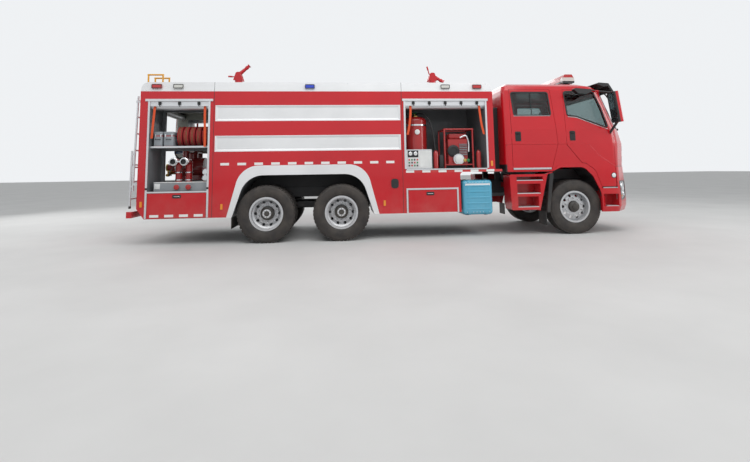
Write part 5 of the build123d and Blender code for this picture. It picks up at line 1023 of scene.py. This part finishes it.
# Cab: window rubbers, handles, mirrors and trim that ride on the doors
FRONT_WINDOW = [(-0.107, 2.800, 0.06), (0.510, 2.800, 0.08), (0.640, 2.440, 0.30), (0.735, 2.055, 0.04),
                (0.097, 2.292, 0.20), (-0.080, 2.310, 0.05)]
REAR_WINDOW = [(-1.200, 2.781, 0.05), (-0.445, 2.781, 0.05), (-0.419, 2.314, 0.05), (-1.167, 2.314, 0.05)]
RUBBER_WIDTH = 0.030
CREASE_Z = 1.748
FRONT_CREASE = [(-0.120, CREASE_Z), (0.310, 1.732), (0.542, 1.479), (0.825, 1.295)]
MIRROR_LEAN = Matrix.Rotation(math.radians(-7.0), 4, "Y")
MIRROR_Y = -1.4525
mirror_place = Matrix.Translation((from_axle(0.765), 0.0, 2.440)) @ MIRROR_LEAN


def crease(start, end, radius=0.010):
    """Pressed ridge on the cab's side from start to end, each (distance from the axle, height)."""
    steps = 6
    line = [on_side([a + (b - a) * k / steps for a, b in zip(start, end)] + [-0.003])
            for k in range(steps + 1)]
    return pipe(line, radius, 10)


def door_handle(piece, x, z):
    """Recess plate with a pull bar."""
    piece.add(plate(rectangle(0.115, 0.190, 0.024), 0.006), lambda p: on_side((x + p[0], z + p[1], p[2])))
    piece.add(plate(rectangle(0.085, 0.120, 0.018), 0.003),
              lambda p: on_side((x + p[0], z + p[1] - 0.02, 0.005 + p[2])), 1)
    piece.add(pipe(eased([(-0.040, 0.060, 0.006), (-0.030, 0.062, 0.026), (0.030, 0.062, 0.026),
                          (0.040, 0.060, 0.006)]), 0.010), lambda p: on_side((x + p[0], z + p[1], p[2])))


for side, sign in SIDES:
    front = Piece(f"front_door_trim_{side}", f"front_door_{side}", "black_plastic", PLASTIC, SCREEN_BLACK,
                  CHROME, CLEAR, MIRROR, PAINT, mirror=sign > 0)
    front.add(ribbon(rounded(FRONT_WINDOW, 8), RUBBER_WIDTH, 0.005), on_side)
    for start, end in (((-0.075, 2.285), (0.105, 2.268)), ((0.105, 2.268), (0.720, 2.030))):
        line = [(start[0] + (end[0] - start[0]) * k / 8, start[1] + (end[1] - start[1]) * k / 8)
                for k in range(9)]
        for k in range(8):
            front.add(pipe([on_side((*line[k], 0.003)), on_side((*line[k + 1], 0.003))], 0.006, 8), finish=2)
    door_handle(front, -0.015, 1.905)
    lamp = along(on_side((0.783, 1.120, 0.0)), (0.10, -1, 0))
    front.add(turned([(0.0, 0.0), (0.046, 0.0), (0.046, 0.006), (0.038, 0.012), (0.0, 0.016)], 32),
              lamp, 3)
    front.add(turned([(0.046, -0.002), (0.055, -0.002), (0.055, 0.007), (0.046, 0.009)], 32),
              lamp)
    front.add(plate(rectangle(0.165, 0.455, 0.022), 0.004),
              mirror_place @ facing("rear", -0.044, MIRROR_Y, 0.045), 4)
    front.add(plate(rectangle(0.165, 0.080, 0.018), 0.004),
              mirror_place @ facing("rear", -0.044, MIRROR_Y, -0.240), 4)
    front.add(ribbon(rectangle(0.192, 0.575, 0.030), 0.020, 0.007),
              mirror_place @ facing("rear", -0.044, MIRROR_Y, 0.0))
    front.add(plate(rectangle(0.120, 0.030, 0.012), 0.004),
              mirror_place @ facing("front", 0.063, MIRROR_Y, -0.262), 3)
    for start, end in zip(FRONT_CREASE, FRONT_CREASE[1:]):
        front.add(crease(start, end), finish=5)
    front.done()
    rear = Piece(f"rear_door_trim_{side}", f"rear_door_{side}", "black_plastic", PLASTIC, SCREEN_BLACK,
                 CHROME, PAINT, mirror=sign > 0)
    rear.add(ribbon(rounded(REAR_WINDOW, 8), RUBBER_WIDTH, 0.005), on_side)
    rear.add(strip(-1.185, -0.435, 2.300, 2.306, 0.006, 4), on_side, 2)
    rear.add(strip(-0.815, -0.800, 2.318, 2.776, 0.0055, 1), on_side)
    door_handle(rear, -1.119, 1.900)
    rear.add(strip(-1.238, -0.478, 1.256, 1.290, 0.004, 4), on_side, 2)
    rear.add(crease((-1.242, CREASE_Z), (-0.326, CREASE_Z)), finish=3)
    rear.done()

# Front of the cab
face = Piece("cab_face_trim", "chassis", "black_plastic", PLASTIC, SCREEN_BLACK, CHROME, CLEAR, PAINT)
SCREEN = [(-1.105, 2.075, 0.06), (1.105, 2.075, 0.06), (1.018, 2.786, 0.06), (-1.018, 2.786, 0.06)]


def dense(line, most=0.05):
    """The same closed line with no step longer than most."""
    made = []
    for i, point in enumerate(line):
        following = line[(i + 1) % len(line)]
        steps = max(1, math.ceil((following - point).length / most))
        made += [point + (following - point) * k / steps for k in range(steps)]
    return made


face.add(ribbon(dense(rounded(SCREEN, 6)), 0.040, 0.005), on_front)
for middle in (-0.55, 0.57):
    face.add(strip(middle - 0.165, middle + 0.165, 1.990, 2.038, 0.006, 8), on_front)
    for k in range(4):
        y = middle - 0.150 + 0.078 * k
        face.add(slab((y, 1.998, 0.005), (y + 0.062, 2.030, 0.010), 0.002, 1), on_front, 1)
for start, reach in ((-0.88, 0.60), (-0.18, 0.60), (0.46, 0.52)):
    face.add(pipe([on_front((start + reach * t, 2.060 + 0.075 * t, 0.022))
                   for t in (0, 0.25, 0.5, 0.75, 1.0)], 0.008, 8))
    face.add(strip(start + 0.10, start + reach, 2.082, 2.094, 0.018, 8), on_front, 1)
    face.add(turned([(0.0, -0.01), (0.022, -0.01), (0.022, 0.024), (0.0, 0.028)], 16),
             along(on_front((start, 2.045, 0.0)), (1, 0, 0.3)))
for half_top, half_low, top, low in ((0.629, 0.480, 1.702, 1.571), (0.555, 0.394, 1.431, 1.290)):
    edge = rounded([(-half_top, top, 0.024), (-half_low, low, 0.024), (half_low, low, 0.024),
                    (half_top, top, 0.024)], 4)
    face.add(ribbon(dense(edge), 0.014, 0.006), on_front)
for sign in (-1, 1):
    for low, top in ((1.610, 1.700), (1.390, 1.500)):
        slot = [Vector((sign * y, z)) for y,
                z in ((0.872, low), (0.872, top), (0.752, top), (0.800, low + 0.03))]
        face.add(plate(slot[::sign], 0.004, 0.001), on_front)
        face.add(strip(sign * 0.770, sign * 0.872, low - 0.012, low + 0.022, 0.007, 6), on_front, 2)
    face.add(strip(sign * 0.878, sign * 0.884, 1.200, 1.770, 0.0012, 1), on_front, 1)
    face.add(strip(sign * 0.912, sign * 1.215, 1.292, 1.300, 0.002, 12), on_front, 1)
    face.add(slab((sign * 0.64 - 0.040, 1.105, 0.0), (sign * 0.64 + 0.040, 1.135, 0.010), 0.005),
             lambda p: on_front(p) - Vector((0.011, 0, 0)), 3)
for start, end in ((-1.380, -1.252), (-0.314, -0.152)):
    face.pair(crease((start, CREASE_Z), (end, CREASE_Z)), finish=4)
face.done()

# Headlamps: a bezel, two reflectors and an indicator each; then the bumper's trim
LAMP_OUTLINE = [(0.918, 1.004, 0.02), (0.918, 0.702, 0.02), (1.020, 0.646, 0.02), (1.172, 0.646, 0.02),
                (1.204, 1.004, 0.02)]
headlamps = Piece("headlamp_details", "chassis", "lamp_lens", SCREEN_BLACK, CHROME, CLEAR, AMBER)
LAMP_NORMAL = (0.72, -0.70, 0.0)
for y, z, radius in ((1.060, 0.895, 0.080), (1.020, 0.752, 0.044)):
    place = along(on_bumper((-y, z, -0.012)), LAMP_NORMAL)
    headlamps.pair(turned([(radius, 0.0), (radius + 0.010, 0.0), (radius + 0.008, 0.016), (radius, 0.012),
                          (radius * 0.6, 0.004), (0.0, 0.002)], 36), place, 1)
    headlamps.pair(turned([(0.0, 0.013), (radius * 0.5, 0.012), (radius, 0.006)], 36), place, 2)
headlamps.pair(ribbon(dense(rounded(LAMP_OUTLINE, 5), 0.03), 0.016, 0.006),
               lambda p: on_bumper((-p[0], p[1], p[2] - 0.003)))
headlamps.pair(strip(-1.170, -1.090, 0.700, 0.735, 0.004, 4),
               lambda p: on_bumper((p[0], p[1], p[2] - 0.003)), 3)
headlamps.done()

bumper_side = facing("right", FRONT_AXLE, -1.2465, 0)
bumper_trim = Piece("bumper_trim", "chassis", "black_plastic", PLASTIC, CHROME, PAINT)
bumper_trim.add(plate(rectangle(0.360, 0.070, 0.006), 0.003),
                facing("front", from_axle(1.3285), 0.0, 0.6825), 2)
for sign in (-1, 1):
    bumper_trim.add(strip(sign * 0.323, sign * 0.737, 0.657, 0.735, 0.004, 8),
                    lambda p: on_bumper(p) - Vector((0.036, 0, 0)))
bumper_trim.add(strip(-0.70, 0.70, 0.806, 0.812, 0.002, 20), on_bumper)
bumper_trim.pair(strip(0.545, 0.845, 0.893, 0.902, 0.003, 4), bumper_side)
bumper_trim.pair(strip(0.545, 0.845, 0.874, 0.887, 0.003, 4), bumper_side, 1)
bumper_trim.add(slab((from_axle(1.300), -0.150, 0.850), (from_axle(1.318), 0.150, 1.010), 0.012))
bumper_trim.done()

# Roof of the cab: visor lamps, the look-down mirror, the light bar's seams and the horns
roof_lamps = Piece("cab_roof_details", "chassis", "black_plastic", PLASTIC, CLEAR, CHROME)
for y in (-1.02, 1.02):
    roof_lamps.add(plate(rectangle(0.100, 0.036, 0.014), 0.012),
                   along((from_axle(0.957), y, 2.900), (0.85, 0, 0.53)), 1)
kerb_mirror = along(on_front((-0.800, 2.470, 0.140)), (1, -0.15, 0.35))
roof_lamps.add(turned([(0.0, -0.004), (0.104, -0.004), (0.108, 0.004), (0.100, 0.030), (0.062, 0.052),
                       (0.0, 0.058)], 40), kerb_mirror)
roof_lamps.add(pipe(eased([kerb_mirror @ Vector((0, 0, 0.020)), on_front((-0.860, 2.600, 0.150)),
                           on_front((-0.940, 2.760, 0.120)), on_front((-0.960, 2.830, 0.050))]), 0.014))
for y in (-0.555, -0.130, 0.130, 0.555):
    roof_lamps.add(slab((from_axle(0.168), y - 0.006, 3.073), (from_axle(0.432), y + 0.006, 3.182), 0.003))
roof_lamps.add(slab((from_axle(0.166), -0.662, 3.108), (from_axle(0.434), 0.662, 3.120), 0.004))
for sign in (-1, 1):
    roof_lamps.add(turned([(0.0, 0.0), (0.026, 0.0), (0.022, 0.03), (0.0, 0.034)], 20),
                   Matrix.Translation((from_axle(-0.75), sign * 0.55, 2.971)))
    roof_lamps.add(pipe(eased([(from_axle(-0.45), sign * 0.42, 2.970),
                               (from_axle(-0.45), sign * 0.42, 3.000),
                               (from_axle(-0.05), sign * 0.42, 3.010),
                               (from_axle(0.0), sign * 0.42, 2.972)]), 0.012), finish=2)
roof_lamps.done()

# Cab inside: padded seats and instruments
CUSHION_STEPS = 10


def cushion(name, low, high, lean=0.0, channels=3, axis=2):
    """Stuffed cushion: crowned faces, rounded edges and sewn channels."""
    form = bmesh.new()
    bmesh.ops.create_cube(form, size=2.0)
    bmesh.ops.subdivide_edges(form, edges=form.edges[:], cuts=CUSHION_STEPS, use_grid_fill=True)
    span = [(b - a) / 2 for a, b in zip(low, high)]
    middle = [(a + b) / 2 for a, b in zip(low, high)]
    for vert in form.verts:
        p = vert.co
        size = sum(abs(c) ** 6 for c in p) ** (1 / 6)
        q = [c / size for c in p]
        others = [k for k in range(3) if k != axis]
        crown = (1 - q[others[0]] ** 2) * (1 - q[others[1]] ** 2)
        groove = max(0.0, math.cos(math.pi * channels * q[1])) ** 12
        q[axis] *= 0.86 + 0.14 * crown - 0.10 * groove * (q[axis] > 0)
        vert.co = Vector([c * s + m for c, s, m in zip(q, span, middle)])
    made = Piece(name, "chassis", "seat_fabric", SEAT).add(take(form)).done(60.0)
    return made


# columns: name, low corner, high corner (distances from the axle), channels, axis that it faces along
CUSHIONS = [("bench_cushion", (-1.238, -1.078, 1.592), (-0.782, 1.078, 1.755), 7, 2),
            ("bench_back", (-1.304, -1.078, 1.62), (-1.200, 1.078, 2.380), 7, 0)]
for side, sign in SIDES:
    y = sign * 0.62
    CUSHIONS += [(f"seat_cushion_{side}", (-0.048, y - 0.248, 1.592), (0.460, y + 0.248, 1.752), 3, 2),
                 (f"seat_back_{side}", (-0.179, y - 0.238, 1.62), (-0.035, y + 0.238, 2.300), 3, 0),
                 (f"head_rest_{side}", (-0.165, y - 0.130, 2.300), (-0.055, y + 0.130, 2.448), 1, 0)]
covers = [cushion(name, (from_axle(low[0]), *low[1:]), (from_axle(high[0]), *high[1:]), channels=count,
                  axis=axis) for name, low, high, count, axis in CUSHIONS]
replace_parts(covers[0], "seats")

inside = Piece("cab_instruments", "chassis", "black_plastic", PLASTIC, SCREEN_BLACK, CHROME)
inside.add(slab((from_axle(0.800), 0.40, 1.985), (from_axle(0.900), 0.86, 2.055), 0.030, 3))
for y in (0.52, 0.74):
    inside.add(turned([(0.0, 0.0), (0.055, 0.0), (0.055, 0.008), (0.048, 0.010), (0.048, 0.004),
                       (0.0, 0.004)], 28), facing("rear", from_axle(0.804), y, 1.935), 2)
inside.add(slab((from_axle(0.796), -0.16, 1.80), (from_axle(0.830), 0.16, 1.98), 0.008), finish=1)
for y in (-0.90, -0.45, 0.28, 0.98):
    inside.add(slab((from_axle(0.800), y - 0.07, 1.900), (from_axle(0.826), y + 0.07, 1.955), 0.006),
               finish=1)
for sign in (-1, 1):
    inside.add(pipe([(from_axle(0.42), sign * 0.30, 1.335), (from_axle(0.44), sign * 0.30, 1.80)], 0.012))
inside.add(turned([(0.0, 0.0), (0.026, 0.0), (0.024, 0.03), (0.0, 0.04)], 20),
           Matrix.Translation((from_axle(0.44), 0.30, 1.80)))
inside.done()

# Body roof: treadplate deck, hatches with their hinges and handles, and the manhole
deck = Piece("roof_deck", "chassis", "silver_trim", DECK, TRIM, PLASTIC, PAINT)
DECK_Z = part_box("body_middle")[1].z
deck.add(slab((-4.635, -1.170, DECK_Z), (1.860, 1.170, DECK_Z + 0.004), 0.001, 1))
for x0, x1 in ((-2.55, -1.75), (-1.35, -0.55), (-0.15, 0.65)):
    deck.pair(slab((x0, -0.95, DECK_Z + 0.004), (x1, -0.35, DECK_Z + 0.045), 0.008))
    middle = (x0 + x1) / 2
    deck.pair(pipe([(middle - 0.07, -0.40, DECK_Z + 0.045), (middle - 0.07, -0.40, DECK_Z + 0.075),
                    (middle + 0.07, -0.40, DECK_Z + 0.075), (middle + 0.07, -0.40, DECK_Z + 0.045)],
                   0.007), finish=2)
    for x in (x0 + 0.12, x1 - 0.12):
        deck.pair(pipe([(x - 0.05, -0.958, DECK_Z + 0.040), (x + 0.05, -0.958, DECK_Z + 0.040)], 0.010),
                  finish=1)
MANHOLE = (-1.95, 0.0)
deck.add(turned([(0.0, 0.0), (0.240, 0.0), (0.240, 0.050), (0.225, 0.058), (0.0, 0.066)], 48),
         Matrix.Translation((*MANHOLE, DECK_Z + 0.004)), 3)
for k in range(8):
    angle = math.pi * k / 4
    deck.add(NUT,
             Matrix.Translation((MANHOLE[0] + 0.205 * math.cos(angle), 0.205 * math.sin(angle),
                                 DECK_Z + 0.062)), 1)
deck.done()

# Rear: gauge panel, suction cap, valves and hoses in the pump room
room = Piece("pump_room_details", "chassis", "silver_trim", TRIM, BLUE, PAINT, CHROME, PALE, BRASS,
             PLASTIC, GREEN)
GAUGE_FACE = -4.502
GAUGE_Y = 0.230
PUMP_Z = 1.390
VALVE_X = -4.122
room.add(plate(rectangle(0.590, 0.330, 0.010), 0.006), facing("rear", GAUGE_FACE, GAUGE_Y, 1.950))
room.add(plate(rectangle(0.550, 0.090, 0.004), 0.003), facing("rear", GAUGE_FACE - 0.006, GAUGE_Y, 2.050), 1)
room.add(plate(rectangle(0.550, 0.190, 0.004), 0.003), facing("rear", GAUGE_FACE - 0.006, GAUGE_Y, 1.905), 2)
for y in (0.115, 0.335):
    dial = facing("rear", GAUGE_FACE - 0.009, y, 1.915) @ Matrix.Scale(1.6, 4)
    room.add(DIAL, dial, 3).add(NEEDLE, dial, 6)
    room.add(DIAL_FACE, dial, 4)
for k in range(5):
    room.add(KNOB, facing("rear", GAUGE_FACE - 0.009, 0.03 + 0.10 * k, 1.832), (6, 7, 5)[k % 3])
room.add(slab((-4.500, -0.030, 1.690), (-4.460, 0.490, 1.788), 0.006), finish=1)
suction = facing("rear", -4.543, 0.0, PUMP_Z)
room.add(turned([(0.0, 0.0), (0.128, 0.0), (0.134, 0.006), (0.134, 0.034), (0.090, 0.044), (0.0, 0.050)], 40),
         suction, 3)
for k in range(4):
    room.add(slab((0.110, -0.016, 0.006), (0.158, 0.016, 0.030), 0.005),
             suction @ Matrix.Rotation(QUARTER * k, 4, "Z"), 3)
for y in (-0.43, 0.43):
    room.add(turned([(0.0, 0.0), (0.060, 0.0), (0.070, 0.006), (0.070, 0.028), (0.048, 0.034),
                     (0.0, 0.036)], 36), facing("rear", -4.453, y, 1.400), 5 if y < 0 else 3)
    room.add(turned([(0.054, -0.008), (0.066, 0.0), (0.054, 0.008), (0.046, 0.0)], 32, closed=True),
             Matrix.Translation((VALVE_X, y, 1.870)), 5)
    room.add(pipe([(VALVE_X, y, 1.800), (VALVE_X, y, 1.870)], 0.009), finish=3)
    room.add(pipe([(VALVE_X, y - 0.052, 1.870), (VALVE_X, y + 0.052, 1.870)], 0.006), finish=5)
    for x in (-4.30, -4.20):
        room.add(turned([(0.061, -0.012), (0.074, -0.010), (0.074, 0.010), (0.061, 0.012)], 32),
                 Matrix.Translation((x, y, 1.400)) @ Matrix.Rotation(QUARTER, 4, "Y"))
for k in range(12):
    angle = math.pi * k / 6
    room.add(NUT, facing("rear", -4.3725, 0.172 * math.cos(angle), PUMP_Z + 0.172 * math.sin(angle)), 3)
room.add(turned([(0.212, -0.018), (0.232, -0.016), (0.232, 0.016), (0.212, 0.018)], 44),
         Matrix.Translation((-4.340, 0.0, PUMP_Z)) @ Matrix.Rotation(QUARTER, 4, "Y"), 6)
room.add(pipe(eased([(-4.20, 0.21, 1.46), (-4.36, 0.34, 1.56), (-4.47, 0.40, 1.66), (-4.46, 0.40, 1.79)]),
              0.012), finish=6)
room.add(pipe(eased([(-4.20, -0.20, 1.50), (-4.38, -0.28, 1.66), (-4.30, -0.30, 1.90),
                     (-4.10, -0.28, 2.02)]), 0.014), finish=6)
motor = Matrix.Translation((-4.300, 0.545, 1.215)) @ Matrix.Rotation(QUARTER, 4, "X")
room.add(turned([(0.0, 0.0), (0.070, 0.0), (0.092, 0.012), (0.092, 0.230), (0.070, 0.245), (0.0, 0.250)],
                36), motor, 6)
for k in range(9):
    room.add(turned([(0.091, 0.026 + 0.023 * k), (0.102, 0.028 + 0.023 * k), (0.102, 0.036 + 0.023 * k),
                     (0.091, 0.038 + 0.023 * k)], 36), motor, 7 if k % 3 else 6)
room.add(pipe(eased([(-4.420, -0.250, 1.300), (-4.440, -0.330, 1.290), (-4.445, -0.420, 1.250),
                     (-4.445, -0.520, 1.250)]), 0.026), finish=5)
for y in (-0.330, -0.470):
    room.add(turned([(0.0, 0.0), (0.014, 0.0), (0.014, 0.060), (0.034, 0.062), (0.034, 0.074),
                     (0.0, 0.076)], 20), Matrix.Translation((-4.443, y, 1.270)), 5)
room.done()

# Tail lamps, ladder feet, apron, step treads and the coamings' bolts and lamp frames
tail = Piece("rear_details", "chassis", "black_plastic", PLASTIC, REFLECT_RED, AMBER, CLEAR, CHROME,
             PAINT, DECK)
tail_x = body_rear_x - 0.024
TAIL_LAMP_Z = 0.8275
tail.pair(plate(rectangle(0.300, 0.096, 0.010), 0.004), facing("rear", tail_x + 0.004, -1.020, TAIL_LAMP_Z))
for y, finish in ((-1.115, 2), (-1.020, 1), (-0.925, 3)):
    tail.pair(plate(rectangle(0.082, 0.082, 0.010), 0.010, 0.003), facing("rear", tail_x, y, TAIL_LAMP_Z),
              finish)
tail.pair(ribbon(rectangle(0.310, 0.104, 0.012), 0.012, 0.006), facing("rear", tail_x, -1.020, TAIL_LAMP_Z))
tail.add(turned([(0.0, 0.0), (0.045, 0.0), (0.045, 0.012), (0.036, 0.018), (0.0, 0.018)], 28),
         facing("rear", body_rear_x, 0.780, 0.800))
tail.add(slab((body_rear_x + 0.001, -0.4785, 0.621), (body_rear_x + 0.010, 0.4785, 1.046), 0.002, 1),
         finish=5)
tail.add(slab((-4.8455, -0.455, 0.5065), (-4.840, 0.455, 0.6145), 0.001, 1), finish=6)
tail.add(slab((-4.840, -0.455, 0.6165), (-4.600, 0.455, 0.6215), 0.002, 1), finish=6)
for y in (-1.185, -0.855):
    tail.add(slab((-4.835, y - 0.024, 0.668), (-4.800, y + 0.024, 0.712), 0.010))
for x in (-4.585, -0.910, 1.780):
    for z in (2.80, 2.935):
        tail.pair(turned([(0.0, 0.0), (0.009, 0.0), (0.007, 0.004), (0.0, 0.005)], 12),
                  facing("right", x, -1.2385 + (z - 2.785) * 0.126, z), 4)
for distance in (-7.519, -2.535, -7.903, -1.907, -5.129):
    place = facing("right", from_axle(distance), -1.266, 2.877)
    tail.pair(ribbon(rectangle(0.168, 0.066, 0.012), 0.012, 0.005), place)
tail.done()

# Under the body: mud flaps, brake chambers, marker lamps and air lines
under = Piece("underbody_details", "chassis", "chassis_black", PLASTIC, CHASSIS, AMBER, TRIM)
under.pair(slab((-3.035, -1.225, 0.270), (-3.025, -0.640, 0.486), 0.003, 1))
for x in REAR_AXLES:
    under.pair(turned([(0.0, -0.10), (0.070, -0.10), (0.085, -0.085), (0.085, -0.01), (0.092, -0.008),
                       (0.092, 0.008), (0.085, 0.01), (0.085, 0.085), (0.070, 0.10), (0.0, 0.10)], 32),
               Matrix.Translation((x - 0.17, -0.50, AXLE_HEIGHT + 0.16))
               @ Matrix.Rotation(QUARTER, 4, "Y"), 1)
for distance, z in ((-6.710, 0.671), (-3.747, 0.675), (-8.110, 0.740), (-1.665, 1.385)):
    under.pair(plate(rectangle(0.040, 0.100, 0.010), 0.012),
               facing("right", from_axle(distance), -SKIN_Y, z), 2)
for y in (-0.405, 0.405):
    under.add(pipe([(-4.50, y * 0.86, 0.985), (3.90, y * 0.86, 0.985)], 0.009, 8))
    under.add(pipe([(-4.50, y * 0.86, 0.960), (3.90, y * 0.86, 0.960)], 0.006, 8), finish=3)
under.add(plate(rounded([(-0.070, -0.089, 0.06), (0.070, -0.089, 0.06), (0.070, 0.089, 0.06),
                         (-0.070, 0.089, 0.06)], 6), 0.010),
          facing("right", from_axle(-3.548), -SKIN_Y, 1.034))
# Splash panels over the rear wheels, and the guard and flap behind the front wheel
under.pair(slab((-2.780, -0.500, 0.980), (-0.680, -0.480, 1.222), 0.004, 1))
GUARD = [(-0.520, 1.180, 0.02), (-0.440, 1.180, 0.02), (-0.535, 0.560, 0.10), (-0.556, 0.430, 0.01),
         (-0.610, 0.430, 0.01), (-0.590, 0.620, 0.10)]
under.pair(plate(rounded(GUARD, 5), 0.045, 0.006), facing("right", FRONT_AXLE, -1.195, 0))
under.pair(slab((from_axle(-0.628), -1.225, 0.190), (from_axle(-0.616), -0.900, 0.450), 0.003, 1))
under.done()

# Camera at the photograph's place
CAMERA_PLACE = (FRONT_AXLE - 4.6068, -9.3679, 1.2850)
CAMERA_YAW = -0.0859
CAMERA_PITCH = 0.1022
CAMERA_ROLL = -0.0151
CAMERA_LENS = 20.784
CAMERA_SHIFT = -0.1401


def make_camera():
    data = bpy.data.cameras.new("camera")
    data.lens = CAMERA_LENS
    data.sensor_width = 36.0
    data.shift_y = CAMERA_SHIFT
    camera = bpy.data.objects.new("camera", data)
    scene.collection.objects.link(camera)
    camera.matrix_world = (Matrix.Translation(CAMERA_PLACE) @ Matrix.Rotation(CAMERA_YAW, 4, "Z")
                           @ Matrix.Rotation(math.pi / 2 + CAMERA_PITCH, 4, "X")
                           @ Matrix.Rotation(CAMERA_ROLL, 4, "Z"))
    scene.camera = camera


def area_light(name, place, target, size, power):
    data = bpy.data.lights.new(name, "AREA")
    data.shape = "RECTANGLE"
    data.size, data.size_y = size
    data.energy = power
    light = bpy.data.objects.new(name, data)
    scene.collection.objects.link(light)
    light.location = place
    light.rotation_euler = (Vector(target) - Vector(place)).to_track_quat("-Z", "Y").to_euler()


def make_studio():
    """Pale floor, white backdrop for what the camera and the reflections see, and soft light."""
    world = bpy.data.worlds.new("studio")
    scene.world = world
    world.use_nodes = True
    tree = world.node_tree
    background = tree.nodes["Background"]
    rays = tree.nodes.new("ShaderNodeLightPath")
    seen = rays.outputs["Is Camera Ray"]
    for kind in ("Is Transmission Ray", "Is Glossy Ray"):
        either = tree.nodes.new("ShaderNodeMath")
        either.operation = "MAXIMUM"
        tree.links.new(seen, either.inputs[0])
        tree.links.new(rays.outputs[kind], either.inputs[1])
        seen = either.outputs[0]
    strength = tree.nodes.new("ShaderNodeMapRange")
    strength.inputs["To Min"].default_value = 0.55
    strength.inputs["To Max"].default_value = 0.93
    tree.links.new(seen, strength.inputs["Value"])
    tree.links.new(strength.outputs[0], background.inputs["Strength"])
    background.inputs["Color"].default_value = (0.93, 0.95, 0.97, 1.0)
    bpy.ops.mesh.primitive_plane_add(size=160.0)
    floor = bpy.context.object
    floor.name = "floor"
    pale = Finish("pale_floor")
    shade = pale.mix(pale.noise(0.7, 5.0).ramp(0.3, 0.7), (0.66, 0.66, 0.65), (0.60, 0.60, 0.59))
    pale.set(Base_Color=shade, Roughness=0.75)
    floor.data.materials.append(pale.material)
    area_light("sky", (0.0, -7.0, 9.0), (0.0, 0.0, 1.2), (12.0, 6.0), 620.0)
    area_light("front_fill", (12.0, -5.0, 4.5), (3.5, 0.0, 1.6), (5.0, 5.0), 260.0)
    area_light("rear_fill", (-11.0, 5.0, 5.0), (-3.0, 0.0, 1.6), (5.0, 5.0), 220.0)
    area_light("far_fill", (2.0, 9.0, 6.0), (0.0, 0.0, 1.4), (9.0, 4.0), 260.0)


make_camera()
make_studio()
scene.view_settings.view_transform = "Standard"
